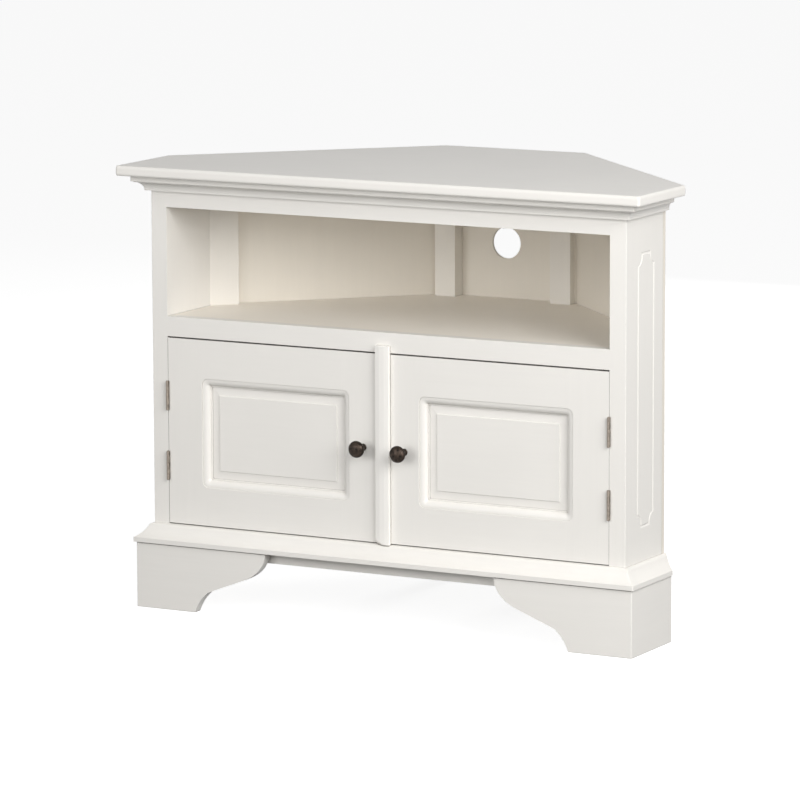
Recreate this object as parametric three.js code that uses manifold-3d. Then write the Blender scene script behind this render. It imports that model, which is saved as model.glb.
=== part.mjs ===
// A painted corner cabinet for a television, as an assembly of its separate pieces.
// Millimetres, +Z up, +X to the right, +Y to the back. The origin is under the middle, on the floor.
// While it is laid out, y = 0 is the front face of the frame. The last group moves it to its middle.
import * as THREE from "three";
import { mergeVertices } from "three/addons/utils/BufferGeometryUtils.js";
import Module from "manifold-3d";

// Overall sizes
const topWidth = 1000;
const sideDepth = 150; // front of the frame to the outer rear arris of a side
const backWidth = 260; // flat back, outside. The rear edges between it and the sides run at 45 degrees.
const seatGap = 0.2; // between two pieces that are glued, screwed or planted on each other
const mitreGap = 0.3; // between pieces that meet on a slanted plane
const overrun = 1; // how far a cutter runs past the face that it cuts

// Top board
const topThickness = 18;
const topOverhang = 45; // at the front and the sides
const topRearOverhang = 19; // at the three rear edges
const noseInset = 2.5; // how far the flat top starts inside the nose
const noseUpperRise = 4.5;
const noseLowerRise = 3;
const noseLowerInset = 2;

// Carcass
const sideThickness = 30;
const frameThickness = 20; // rails of the front frame, front to back
const backThickness = 7;
const friezeHeight = 55; // from the bay up to the top board
const bayHeight = 190;
const shelfThickness = 18;
const shelfRailHeight = 34.7;
const doorwayHeight = 329.2;
const bottomRailDrop = 20.5; // below the cap of the base
const bottomRailRise = 0.8; // above that cap
const bottomBoardThickness = 18;
const cableHoleDiameter = 56;
const cableHoleLift = 3; // its centre, above the middle of the bay
const cableHoleShift = 6; // its centre, to the left of the middle

// Posts inside the rear corners
const sidePostWidth = 51.8;
const sidePostThickness = 16.5;
const backPostWidth = 39;
const backPostDepth = 28;
const backPostPast = 6.4; // how far it reaches past the inner rear corner

// Middle post between the doors, and the bead on its face
const beadWidth = 25;
const beadEdgeThickness = 6.5;
const beadCrown = 8;
const beadFlat = 5.5;
const beadOverlap = 12.5; // on the shelf rail, above the doors
const doorStopWidth = 52;
const doorStopThickness = 18;

// Cornice under the top: a fillet over a cove
const filletReach = 26;
const filletHeight = 10.5;
const coveReach = 22.5;
const coveFoot = 8.7;
const corniceHeight = 27;
const coveQuirk = 1.2;
const mouldingRearReach = 2.5; // cornice, base moulding and feet run on past the rear panels

// Moulded cap of the base: an upright fillet under an ogee
const capReach = 27.5;
const capFillet = 8.3;
const capHeight = 32.3;
const ogeeTurnReach = 9; // where its hollow turns into its round
const ogeeTurnDrop = 6.3; // below the top of the cap
const ogeeHollowReach = 16;
const ogeeHollowDrop = 18.3;
const ogeeRoundReach = 7;
const capTopReach = 0.6;

// Bracket feet
const footReach = 23.5;
const footThickness = 17.8;
const footHeight = 115;
const footWidth = 257.5; // under the cap, from the outer corner of the foot
const footToeWidth = 117; // on the floor
const footBellyWidth = 212; // where its round turns into a straight run
const footBellyHeight = 63.5;
const footBellyReach = 2.5; // the round leaves the cap towards this place
const footBellyLevel = 80;
const footNotchWidth = 142;
const footNotchHeight = 36.5;
const footNotchStep = 3.5;
const footHeelBend = 14;
const footHeelHeight = 20.5;
const glueBlockSize = 46;
const glueBlockLift = 3;

// Doors
const doorThickness = 22;
const doorGapAbove = 2.5;
const doorGapBelow = 1.6;
const hingeGap = 0.6;
const meetingGap = 0.6;
const meetingRelief = 1.5; // the meeting edge leans back by this much
const hingeStileWidth = 82; // up to the sight line of the panel
const meetingStileWidth = 69;
const railHeight = 82;
const stickingWidth = 14.5;
const stickingDepth = 12;
const stickingQuirk = 1.6; // step down from the face of the frame
const stickingEdge = 1.8; // flat beside that step
const stickingFoot = 2.3; // flat below the round
const stickingLip = 1.8; // from that flat down to the panel
const stickingCornerRadius = 10;
const grooveDepth = 8;
const grooveWidth = 5.5;
const tenonLength = 25;
const tenonShoulder = 12;
const tenonGap = 0.3;
const panelPlay = 1; // at each edge of a panel, for the timber to move
const bevelWidth = 14.5;
const bevelRise = 1.2;
const fieldStep = 1.6;
const fieldRound = 0.8;

// Carved line on each side
const carvingMargin = 43; // front edge of a side to the line
const carvingWidth = 64;
const carvingLowerMargin = 57.7; // top of the base's cap to the line
const carvingUpperMargin = 61.5; // line to the foot of the cornice
const carvingScoop = 14; // radius of its hollow corners
const carvingNeck = 1; // straight stretch of its inner edge, past a hollow corner
const carvingGroove = 5;
const carvingDepth = 1.3;
const carvingBed = 0.8;

// Knobs
const knobFlangeRadius = 6.2;
const knobFlangeThickness = 3;
const knobNeckRadius = 4.5;
const knobHeadRadius = 14.6;
const knobHeadStart = 16;
const knobLength = 34;
const knobInset = 26.4; // from the meeting edge of its door
const rightKnobDrop = 2.5; // below the middle of its door. The left knob is level with it.
const screwRadius = 2;
const screwHeadRadius = 4;
const screwHeadThickness = 2.6;
const screwReach = 11; // how far the screw goes into the knob
const threadGap = 0.25;

// Butt hinges
const hingeHeight = 50.8;
const hingeSpread = 123; // between the centres of a door's two hinges
const leafThickness = 1.5;
const leafWidth = 18;
const knuckleRadius = 2.4;
const knuckleCount = 5;
const knuckleGap = 0.3;
const pinRadius = 1.1;
const pinGap = 0.3;
const pinTip = 1;
const barrelProud = 1.2; // clear of the face of the frame
const leafBackset = 0.5; // from that face to the wide part of a leaf
const gainGap = 0.3;

// Magnetic catches
const catchHeight = 40;
const catchWidth = 13;
const catchDepth = 14;
const catchDrop = 55.5; // top of the doors to the middle of a catch
const catchGap = 0.6;
const strikeThickness = 1.2;
const strikeHeight = 28;
const strikeWidth = 12;

// How finely round stretches are cut
const arcSteps = 6;
const knobSides = 24;
const barrelSides = 16;
const holeSides = 32;
const mergeDistance = 0.0001; // points closer than this are one point

// Places that follow from the sizes above
const halfTop = topWidth / 2;
const half = halfTop - topOverhang;
const inner = half - sideThickness;
const root2 = Math.SQRT2;
const rearOuter = half + sideDepth; // |x| + y on the outside of a slanted rear panel
const rearInner = rearOuter - backThickness * root2;
const backCorner = backWidth / 2;
const carcassDepth = rearOuter - backCorner; // front of the frame to the outside of the flat back
const backInner = carcassDepth - backThickness;
const innerCorner = rearInner - backInner;
const capTop = footHeight + capHeight;
const bottomRailTop = capTop + bottomRailRise;
const bottomRailBottom = footHeight - bottomRailDrop;
const shelfRailBottom = bottomRailTop + doorwayHeight;
const shelfTop = shelfRailBottom + shelfRailHeight;
const friezeBottom = shelfTop + bayHeight;
const topUnderside = friezeBottom + friezeHeight;
const totalHeight = topUnderside + topThickness;
const carcassTop = topUnderside - seatGap;
const topFront = -topOverhang;
const topBack = carcassDepth + topRearOverhang;
const topRear = rearOuter + topRearOverhang * root2;
const mouldingRear = rearOuter + mouldingRearReach * root2;
const bottomBoardUnderside = bottomRailTop - bottomBoardThickness;
const postFace = rearInner - sidePostThickness * root2;
const pinX = inner - hingeGap / 2;
const pinY = -(knuckleRadius + barrelProud);
const halfBead = beadWidth / 2;
const footSetOff = footReach - footThickness; // from the frame to the backs of the feet
const doorBottom = bottomRailTop + doorGapBelow;
const doorHeight = shelfRailBottom - bottomRailTop - doorGapBelow - doorGapAbove;
const doorWidth = inner - hingeGap - halfBead - meetingGap;
const doorMiddle = doorBottom + doorHeight / 2;
const catchMiddle = doorBottom + doorHeight - catchDrop;

const wasm = await Module();
wasm.setup();

const paint = (shade) => () =>
  new THREE.MeshStandardMaterial({ color: shade, roughness: 0.5, metalness: 0 });
const outsidePaint = paint(0xf1ede2);
const insidePaint = paint(0xe2dacb);
const brass = () =>
  new THREE.MeshStandardMaterial({ color: 0x8a6a34, roughness: 0.4, metalness: 1 });
const bronze = () =>
  new THREE.MeshStandardMaterial({ color: 0x33261f, roughness: 0.42, metalness: 0.7 });
const steel = () =>
  new THREE.MeshStandardMaterial({ color: 0x9a9ca0, roughness: 0.35, metalness: 1 });
const catchPlastic = () =>
  new THREE.MeshStandardMaterial({ color: 0xe9e4d8, roughness: 0.55, metalness: 0 });

function piece(name, geometry, material) {
  const mesh = new THREE.Mesh(geometry, material());
  mesh.name = name;
  return mesh;
}

// Shapes from outlines
function extruded(outline, depth) {
  const shape = new THREE.Shape(outline.map(([a, b]) => new THREE.Vector2(a, b)));
  return new THREE.ExtrudeGeometry(shape, { depth, bevelEnabled: false });
}

// An outline in x and y, raised from one height to another.
function upright(outline, bottom, top) {
  return extruded(outline, top - bottom).translate(0, 0, bottom);
}

// An outline in x and z, as thick as from one depth to another.
function frontal(outline, front, back) {
  return extruded(outline, back - front).rotateX(Math.PI / 2).translate(0, back, 0);
}

function block(left, right, front, back, bottom, top) {
  const box = new THREE.BoxGeometry(right - left, back - front, top - bottom);
  return box.translate((left + right) / 2, (front + back) / 2, (bottom + top) / 2);
}

// A bar along Z between two heights.
function bar(radius, bottom, top, sides) {
  const round = new THREE.CylinderGeometry(radius, radius, top - bottom, sides);
  return round.rotateX(Math.PI / 2).translate(0, 0, (top + bottom) / 2);
}

// Triangles across a flat outline, turned the way its points run.
function acrossOutline(outline) {
  const size = new THREE.Box3().setFromPoints(outline).getSize(new THREE.Vector3()).toArray();
  const thin = size.indexOf(Math.min(...size));
  const flat = outline.map((point) => {
    return new THREE.Vector2(...point.toArray().filter((_, axis) => axis !== thin));
  });
  const faces = THREE.ShapeUtils.triangulateShape(flat, []);
  return THREE.ShapeUtils.isClockWise(flat) ? faces.map(([a, b, c]) => [a, c, b]) : faces;
}

// Layers of as many points each, joined into one closed skin. Faces are turned outward.
function lofted(layers) {
  const count = layers[0].length;
  const points = layers.flat().map((place) => new THREE.Vector3(...place));
  const faces = acrossOutline(points.slice(0, count)).map(([a, b, c]) => [a, c, b]);
  const last = points.length - count;
  acrossOutline(points.slice(last)).forEach((face) => faces.push(face.map((i) => i + last)));
  layers.slice(1).forEach((_, level) => {
    for (let i = 0; i < count; i++) {
      const a = level * count + i;
      const b = level * count + ((i + 1) % count);
      faces.push([a, b, a + count], [b, b + count, a + count]);
    }
  });
  const volume = faces.reduce((sum, [a, b, c]) => {
    return sum + points[a].dot(points[b].clone().cross(points[c]));
  }, 0);
  const outward = volume < 0 ? faces.map(([a, b, c]) => [a, c, b]) : faces;
  const skin = new THREE.BufferGeometry().setFromPoints(points);
  return skin.setIndex(outward.flat());
}

// Booleans
function toSolid(geometry) {
  const bare = new THREE.BufferGeometry();
  bare.setAttribute("position", geometry.getAttribute("position"));
  if (geometry.index) bare.setIndex(geometry.index);
  const merged = mergeVertices(bare, mergeDistance);
  return new wasm.Manifold(
    new wasm.Mesh({
      numProp: 3,
      vertProperties: new Float32Array(merged.attributes.position.array),
      triVerts: new Uint32Array(merged.index.array),
    }),
  );
}

function toGeometry(solid) {
  const mesh = solid.getMesh();
  const geometry = new THREE.BufferGeometry();
  geometry.setAttribute("position", new THREE.BufferAttribute(mesh.vertProperties, 3));
  geometry.setIndex(new THREE.BufferAttribute(mesh.triVerts, 1));
  const faceted = geometry.toNonIndexed();
  faceted.computeVertexNormals();
  return faceted;
}

function cut(geometry, ...cutters) {
  const solid = cutters.reduce((rest, cutter) => rest.subtract(toSolid(cutter)), toSolid(geometry));
  return toGeometry(solid);
}

function joined(geometry, ...others) {
  const solid = others.reduce((sum, other) => sum.add(toSolid(other)), toSolid(geometry));
  return toGeometry(solid);
}

function common(geometry, other) {
  return toGeometry(toSolid(geometry).intersect(toSolid(other)));
}

// Points along a curve, without its first one.
function along(curve) {
  return curve.getPoints(arcSteps).slice(1).map((p) => [p.x, p.y]);
}

function bend(start, pull, end) {
  return along(
    new THREE.QuadraticBezierCurve(
      new THREE.Vector2(...start),
      new THREE.Vector2(...pull),
      new THREE.Vector2(...end),
    ),
  );
}

// The cabinet's plan: two sides, two slanted rear edges and a flat back, drawn in or out.
function plan(halfWidth, front, back, rear) {
  return [
    [-halfWidth, front],
    [halfWidth, front],
    [halfWidth, rear - halfWidth],
    [rear - back, back],
    [back - rear, back],
    [-halfWidth, rear - halfWidth],
  ];
}

// A place from its x + y and x - y, which run across and along a slanted rear edge.
function onSlant(sum, difference) {
  return [(sum + difference) / 2, (sum - difference) / 2];
}

// Posts stand on the right. The left ones are their mirror images.
function sidePostPlan(grow) {
  const wall = inner - mitreGap + grow;
  const face = postFace - grow * root2;
  const rear = rearInner + (grow - mitreGap) * root2;
  const end = 2 * inner - postFace - (sidePostWidth + grow) * root2;
  return [[wall, face - wall], [wall, rear - wall], onSlant(rear, end), onSlant(face, end)];
}

function backPostPlan(grow) {
  const far = innerCorner + backPostPast + grow;
  const near = innerCorner + backPostPast - backPostWidth - grow;
  const front = backInner - backPostDepth - grow;
  const back = backInner - mitreGap + grow;
  const rear = rearInner + (grow - mitreGap) * root2;
  return [
    [near, front],
    [far, front],
    [far, rear - far],
    [rear - back, back],
    [near, back],
  ];
}

function mirrored(outline) {
  return outline.map(([x, y]) => [-x, y]);
}

// A board that fills the inside of the carcass, notched round the posts.
function innerBoard(bottom, top) {
  const front = frameThickness + seatGap;
  const outline = plan(
    inner - seatGap,
    front,
    backInner - mitreGap,
    rearInner - mitreGap * root2,
  );
  const low = bottom - overrun;
  const high = top + overrun;
  const notches = [sidePostPlan(mitreGap), backPostPlan(mitreGap)].flatMap((post) => [
    upright(post, low, high),
    upright(mirrored(post), low, high),
  ]);
  return cut(upright(outline, bottom, top), ...notches);
}

function topBoard() {
  const ring = (inset, z) =>
    plan(halfTop - inset, topFront + inset, topBack - inset, topRear - inset * root2).map(
      ([x, y]) => [x, y, z],
    );
  const upper = Array.from({ length: arcSteps + 1 }, (_, i) => {
    const angle = ((i / arcSteps) * Math.PI) / 2;
    const rise = totalHeight - noseUpperRise + noseUpperRise * Math.sin(angle);
    return ring(noseInset * (1 - Math.cos(angle)), rise);
  });
  const lower = ring(0, topUnderside + noseLowerRise);
  return lofted([ring(noseLowerInset, topUnderside), lower, ...upper]);
}

// A moulding whose ends lie where the two functions of its reach put them.
function mouldingRun(profile, start, end) {
  const run = [start, end].map((place) => profile.map(([reach, z]) => place(reach, z)));
  return lofted(run);
}

// Mouldings and feet meet in mitres on the line where |x| - half = -y.
function frontRun(profile) {
  const place = (side) => (reach, z) => [side * (half + reach - mitreGap), -seatGap - reach, z];
  return mouldingRun(profile, place(-1), place(1));
}

function sideRun(profile) {
  const front = (reach, z) => [half + seatGap + reach, -reach + mitreGap, z];
  const rear = (reach, z) => [half + seatGap + reach, mouldingRear - half - reach, z];
  return mouldingRun(profile, front, rear);
}

function corniceProfile() {
  const bottom = topUnderside - corniceHeight;
  const coveTop = carcassTop - filletHeight - coveQuirk;
  const cove = new THREE.EllipseCurve(
    coveReach,
    bottom,
    coveReach - coveFoot,
    coveTop - bottom,
    Math.PI / 2,
    Math.PI,
    false,
  );
  return [
    [0, carcassTop],
    [filletReach, carcassTop],
    [filletReach, carcassTop - filletHeight],
    [coveReach, carcassTop - filletHeight],
    [coveReach, coveTop],
    ...along(cove),
    [0, bottom],
  ].reverse();
}

function capProfile() {
  const bottom = footHeight + seatGap;
  const edge = [capReach, bottom + capFillet];
  const turn = [ogeeTurnReach, capTop - ogeeTurnDrop];
  return [
    [0, bottom],
    [capReach, bottom],
    edge,
    ...bend(edge, [ogeeHollowReach, capTop - ogeeHollowDrop], turn),
    ...bend(turn, [ogeeRoundReach, capTop - capTopReach], [capTopReach, capTop]),
    [0, capTop],
  ];
}

// Front foot: an ogee bracket in x and z, on the right.
function footOutline() {
  const outer = half + footReach;
  const shoulder = [outer - footWidth, footHeight];
  const belly = [outer - footBellyWidth, footBellyHeight];
  const notch = [outer - footNotchWidth, footNotchHeight];
  const heel = [notch[0] + footNotchStep, footNotchHeight - footNotchStep];
  return [
    shoulder,
    ...bend(shoulder, [shoulder[0] + footBellyReach, footBellyLevel], belly),
    notch,
    heel,
    ...bend(heel, [heel[0] + footHeelBend, footHeelHeight], [outer - footToeWidth, 0]),
    [outer, 0],
    [outer, footHeight],
  ];
}

function frontFoot() {
  const outer = half + footReach;
  const near = outer - footWidth - overrun;
  const mitre = [
    [near, -footReach],
    [outer - mitreGap, -footReach],
    [half + footSetOff - mitreGap, -footSetOff],
    [near, -footSetOff],
  ];
  return common(
    frontal(footOutline(), -footReach, -footSetOff),
    upright(mitre, -overrun, footHeight + overrun),
  );
}

function sideFoot() {
  const outer = half + footReach;
  const near = half + footSetOff;
  const outline = [
    [outer, -footReach + mitreGap],
    [outer, mouldingRear - outer],
    [near, mouldingRear - near],
    [near, -footSetOff + mitreGap],
  ];
  return upright(outline, 0, footHeight);
}

function glueBlock() {
  const edge = half + footSetOff - seatGap;
  const front = seatGap - footSetOff;
  const outline = [
    [edge, front],
    [edge, front + glueBlockSize],
    [edge - glueBlockSize, front],
  ];
  return upright(outline, glueBlockLift, bottomRailBottom - seatGap);
}

const carvingBottom = capTop + carvingLowerMargin;
const carvingTop = topUnderside - corniceHeight - carvingUpperMargin;

// The carved line: a long frame with hollow corners and a short neck at each end, drawn in by the inset.
function carvingOutline(inset) {
  const end = (carvingTop - carvingBottom) / 2;
  const radius = carvingScoop + inset;
  const hollow = new THREE.EllipseCurve(
    carvingWidth / 2,
    end - carvingGroove - carvingNeck,
    radius,
    radius,
    Math.PI,
    Math.PI + Math.acos(inset / radius),
    false,
  );
  const corner = hollow.getPoints(arcSteps).map((p) => [p.x, p.y]);
  const quarter = [[carvingWidth / 2 - radius, end - inset], ...corner];
  const lower = quarter.map(([a, b]) => [a, -b]).reverse();
  const right = [...quarter, ...lower];
  const left = right.map(([a, b]) => [-a, -b]);
  return [...right, ...left];
}

function sidePanel() {
  const outline = [
    [inner, 0],
    [half, 0],
    [half, rearInner - half],
    [inner, rearInner - inner],
  ];
  const board = upright(outline, bottomRailBottom, carcassTop);
  const middle = carvingMargin + carvingWidth / 2;
  const height = (carvingTop + carvingBottom) / 2;
  const layer = (inset, x) => carvingOutline(inset).map(([y, z]) => [x, y + middle, z + height]);
  const bed = (carvingGroove - carvingBed) / 2;
  const face = half + overrun;
  const floor = half - carvingDepth;
  const outside = [layer(0, face), layer(0, half), layer(bed, floor)];
  const island = [
    layer(carvingGroove, face + overrun),
    layer(carvingGroove, half),
    layer(bed + carvingBed, floor - overrun),
  ];
  const line = cut(lofted(outside), lofted(island));
  const gains = hingeHeights().map((z) => {
    const reach = hingeHeight / 2 + gainGap;
    const back = leafBackset + leafWidth + gainGap;
    const depth = inner + leafThickness + gainGap;
    return block(inner - overrun, depth, -overrun, back, z - reach, z + reach);
  });
  return cut(board, line, ...gains);
}

function bead() {
  const bottom = capTop + seatGap;
  const top = shelfRailBottom + beadOverlap;
  const back = -seatGap;
  const edge = back - beadEdgeThickness;
  const crown = back - beadCrown;
  const rise = beadCrown - beadEdgeThickness;
  const layer = (z, edgeY, crownY) => [
    [-halfBead, back, z],
    [halfBead, back, z],
    [halfBead, edgeY, z],
    [beadFlat / 2, crownY, z],
    [-beadFlat / 2, crownY, z],
    [-halfBead, edgeY, z],
  ];
  return lofted([
    layer(bottom, edge + rise / 2, edge),
    layer(bottom + rise, edge, crown),
    layer(top - rise, edge, crown),
    layer(top, edge + rise / 2, edge),
  ]);
}

function middlePost() {
  const bottom = bottomRailTop + seatGap;
  const stopFront = doorThickness + seatGap;
  const stopBack = stopFront + doorStopThickness;
  const neck = block(-halfBead, halfBead, 0, stopBack, bottom, shelfRailBottom - seatGap);
  const reach = doorStopWidth / 2;
  const stop = block(-reach, reach, stopFront, stopBack, bottom, shelfTop - shelfThickness - seatGap);
  return joined(neck, stop);
}

function backPanels() {
  const bottom = bottomRailBottom;
  const centre = [
    [-innerCorner, backInner],
    [innerCorner, backInner],
    [backCorner, carcassDepth],
    [-backCorner, carcassDepth],
  ];
  const hole = bar(
    cableHoleDiameter / 2,
    -carcassDepth - overrun,
    -backInner + overrun,
    holeSides,
  );
  const holeHeight = (shelfTop + friezeBottom) / 2 + cableHoleLift;
  hole.rotateX(Math.PI / 2).translate(-cableHoleShift, 0, holeHeight);
  const slant = [
    [half, rearInner - half + mitreGap],
    [half, rearOuter - half],
    [backCorner + mitreGap, carcassDepth - mitreGap],
    [innerCorner + mitreGap, backInner],
  ];
  return {
    centre: cut(upright(centre, bottom, carcassTop), hole),
    slant: upright(slant, bottom, carcassTop),
  };
}

function hingeHeights() {
  return [doorMiddle - hingeSpread / 2, doorMiddle + hingeSpread / 2];
}

// Door pieces are laid out from the pin of the hinges: x grows towards the meeting edge.
const doorEdge = hingeGap / 2;
const doorFace = -pinY;
const sightLeft = doorEdge + hingeStileWidth;
const sightRight = doorEdge + doorWidth - meetingStileWidth;
const sightBottom = doorBottom + railHeight;
const sightTop = doorBottom + doorHeight - railHeight;

function roundedRectangle(left, right, bottom, top, radius, y) {
  const corners = [
    [right - radius, top - radius, 0],
    [left + radius, top - radius, 1],
    [left + radius, bottom + radius, 2],
    [right - radius, bottom + radius, 3],
  ];
  return corners.flatMap(([x, z, quarter]) =>
    Array.from({ length: arcSteps + 1 }, (_, i) => {
      const angle = ((quarter + i / arcSteps) * Math.PI) / 2;
      return [x + radius * Math.cos(angle), y, z + radius * Math.sin(angle)];
    }),
  );
}

// Cutter for the moulded inner edge of a door frame: an ovolo between two small steps.
function stickingCutter() {
  const layer = (inset, depth) => {
    const share = inset / stickingWidth;
    const radius = stickingCornerRadius * (1 - share) + fieldRound * share;
    const out = stickingWidth - inset;
    return roundedRectangle(
      sightLeft - out,
      sightRight + out,
      sightBottom - out,
      sightTop + out,
      radius,
      doorFace + depth,
    );
  };
  const footDepth = stickingDepth - stickingLip;
  const ovolo = new THREE.EllipseCurve(
    stickingEdge,
    footDepth,
    stickingWidth - stickingEdge - stickingFoot,
    footDepth - stickingQuirk,
    -Math.PI / 2,
    0,
    false,
  );
  return lofted([
    layer(0, -overrun),
    layer(0, stickingQuirk),
    ...ovolo.getPoints(arcSteps).map((p) => layer(p.x, p.y)),
    layer(stickingWidth, footDepth),
    layer(stickingWidth, stickingDepth),
  ]);
}

function panelGrooveCutter() {
  return block(
    sightLeft - grooveDepth,
    sightRight + grooveDepth,
    doorFace + stickingDepth,
    doorFace + stickingDepth + grooveWidth,
    sightBottom - grooveDepth,
    sightTop + grooveDepth,
  );
}

// The tenon of a rail at one of its ends, or with a gap the mortise that takes it.
function tenon(side, bottom, gap) {
  const root = side < 0 ? sightLeft : sightRight;
  const tip = root + side * (tenonLength + gap);
  const heel = root - side * overrun;
  const front = doorFace + stickingDepth + tenonGap - gap;
  const back = doorFace + stickingDepth + grooveWidth - tenonGap + gap;
  return block(
    Math.min(tip, heel),
    Math.max(tip, heel),
    front,
    back,
    bottom + tenonShoulder - gap,
    bottom + railHeight - tenonShoulder + gap,
  );
}

function doorRail(bottom) {
  const bare = block(
    sightLeft + seatGap,
    sightRight - seatGap,
    doorFace,
    doorFace + doorThickness,
    bottom,
    bottom + railHeight,
  );
  const shaped = cut(bare, stickingCutter(), panelGrooveCutter());
  return joined(shaped, tenon(-1, bottom, 0), tenon(1, bottom, 0));
}

function mortises(side) {
  return [doorBottom, sightTop].map((bottom) => tenon(side, bottom, tenonGap));
}

function hingeStile() {
  const bare = block(
    doorEdge,
    sightLeft,
    doorFace,
    doorFace + doorThickness,
    doorBottom,
    doorBottom + doorHeight,
  );
  const reach = hingeHeight / 2 + gainGap;
  const gains = hingeHeights().map((z) =>
    block(
      doorEdge - overrun,
      doorEdge + leafThickness + gainGap,
      doorFace - overrun,
      doorFace + leafBackset + leafWidth + gainGap,
      z - reach,
      z + reach,
    ),
  );
  return cut(bare, stickingCutter(), panelGrooveCutter(), ...mortises(-1), ...gains);
}

function screwAxis() {
  return doorEdge + doorWidth - knobInset;
}

function meetingStile(knobHeight) {
  const edge = doorEdge + doorWidth;
  const back = doorFace + doorThickness;
  const outline = [
    [sightRight, doorFace],
    [edge, doorFace],
    [edge - meetingRelief, back],
    [sightRight, back],
  ];
  const bare = upright(outline, doorBottom, doorBottom + doorHeight);
  const hole = alongY(screwRadius + threadGap, doorFace - overrun, back + overrun, barrelSides);
  hole.translate(screwAxis(), 0, knobHeight);
  return cut(bare, stickingCutter(), panelGrooveCutter(), ...mortises(1), hole);
}

// A round bar along Y between two depths.
function alongY(radius, front, back, sides) {
  const round = new THREE.CylinderGeometry(radius, radius, back - front, sides);
  return round.translate(0, (front + back) / 2, 0);
}

function raisedPanel() {
  const reach = grooveDepth - panelPlay;
  const front = doorFace + stickingDepth + tenonGap;
  const back = doorFace + stickingDepth + grooveWidth - tenonGap;
  const layer = (inset, y) => [
    [sightLeft + inset, y, sightBottom + inset],
    [sightRight - inset, y, sightBottom + inset],
    [sightRight - inset, y, sightTop - inset],
    [sightLeft + inset, y, sightTop - inset],
  ];
  const bevelTop = front - bevelRise;
  const field = bevelTop - fieldStep;
  return lofted([
    layer(-reach, back),
    layer(-reach, front),
    layer(0, front),
    layer(bevelWidth, bevelTop),
    layer(bevelWidth + fieldRound / 2, field + fieldRound),
    layer(bevelWidth + fieldRound * 2, field),
  ]);
}

// A profile of radius and place along the Y axis, turned about it.
function turned(profile, sides) {
  const points = profile.map(([radius, place]) => new THREE.Vector2(radius, place));
  return new THREE.LatheGeometry(points, sides);
}

// A knob turned about its own axis, which points out of the door. Its base is at the origin.
function knob() {
  const headWaist = knobHeadStart + (knobLength - knobHeadStart) / 2;
  const head = new THREE.EllipseCurve(
    0,
    headWaist,
    knobHeadRadius,
    knobLength - headWaist,
    -Math.PI / 3,
    Math.PI / 2,
    false,
  );
  const headPoints = head.getPoints(2 * arcSteps).slice(0, -1);
  const neck = bend(
    [knobFlangeRadius, knobFlangeThickness],
    [knobNeckRadius, knobFlangeThickness],
    [knobNeckRadius, knobHeadStart - knobFlangeThickness],
  );
  const bore = screwRadius + threadGap;
  const boreDepth = screwReach + threadGap;
  const profile = [
    [0, boreDepth],
    [bore, boreDepth],
    [bore, 0],
    [knobFlangeRadius, 0],
    [knobFlangeRadius, knobFlangeThickness],
    ...neck,
    ...headPoints.map((p) => [p.x, p.y]),
    [0, knobLength],
  ];
  return turned(profile, knobSides);
}

function knobScrew() {
  const back = doorThickness + seatGap;
  const profile = [
    [0, -screwReach],
    [screwRadius, -screwReach],
    [screwRadius, back],
    [screwHeadRadius, back],
    [screwHeadRadius, back + screwHeadThickness / 2],
    [screwHeadRadius / 2, back + screwHeadThickness],
    [0, back + screwHeadThickness],
  ];
  return turned(profile, barrelSides);
}

// A hinge about its pin, which stands at the origin. One leaf lies on either side of x = 0.
function knuckleSpan(index) {
  const pitch = hingeHeight / knuckleCount;
  const low = -hingeHeight / 2 + index * pitch;
  return [low + knuckleGap / 2, low + pitch - knuckleGap / 2];
}

function hingeLeaf(side, isMine) {
  const near = doorEdge;
  const far = doorEdge + leafThickness;
  const wideStart = doorFace + leafBackset;
  const sheet = (front, back, low, high) =>
    block(Math.min(side * near, side * far), Math.max(side * near, side * far), front, back, low, high);
  const reach = hingeHeight / 2 - knuckleGap / 2;
  const plate = sheet(wideStart, wideStart + leafWidth, -reach, reach);
  const mine = Array.from({ length: knuckleCount }, (_, i) => i).filter(isMine);
  const tabs = mine.map((i) => {
    const [low, high] = knuckleSpan(i);
    return sheet(0, wideStart + overrun, low, high);
  });
  const knuckles = mine.map((i) => bar(knuckleRadius, ...knuckleSpan(i), barrelSides));
  const solid = joined(plate, ...tabs, ...knuckles);
  const bore = bar(
    pinRadius + pinGap,
    -hingeHeight / 2 - overrun,
    hingeHeight / 2 + overrun,
    barrelSides,
  );
  return cut(solid, bore);
}

function hingePin() {
  const end = hingeHeight / 2 + pinTip;
  const profile = [
    [0, -end],
    [pinRadius / 2, -end],
    [pinRadius, -end + pinTip / 2],
    [pinRadius, end - pinTip / 2],
    [pinRadius / 2, end],
    [0, end],
  ];
  return turned(profile, barrelSides).rotateX(Math.PI / 2);
}

function magneticCatch() {
  const near = doorStopWidth / 2 + seatGap;
  const front = doorThickness + strikeThickness + seatGap + catchGap;
  const reach = catchHeight / 2;
  return block(
    near,
    near + catchWidth,
    front,
    front + catchDepth,
    catchMiddle - reach,
    catchMiddle + reach,
  );
}

function strikePlate() {
  const middle = pinX - doorStopWidth / 2 - seatGap - catchWidth / 2;
  const front = doorFace + doorThickness + seatGap;
  return block(
    middle - strikeWidth / 2,
    middle + strikeWidth / 2,
    front,
    front + strikeThickness,
    catchMiddle - strikeHeight / 2,
    catchMiddle + strikeHeight / 2,
  );
}

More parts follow.
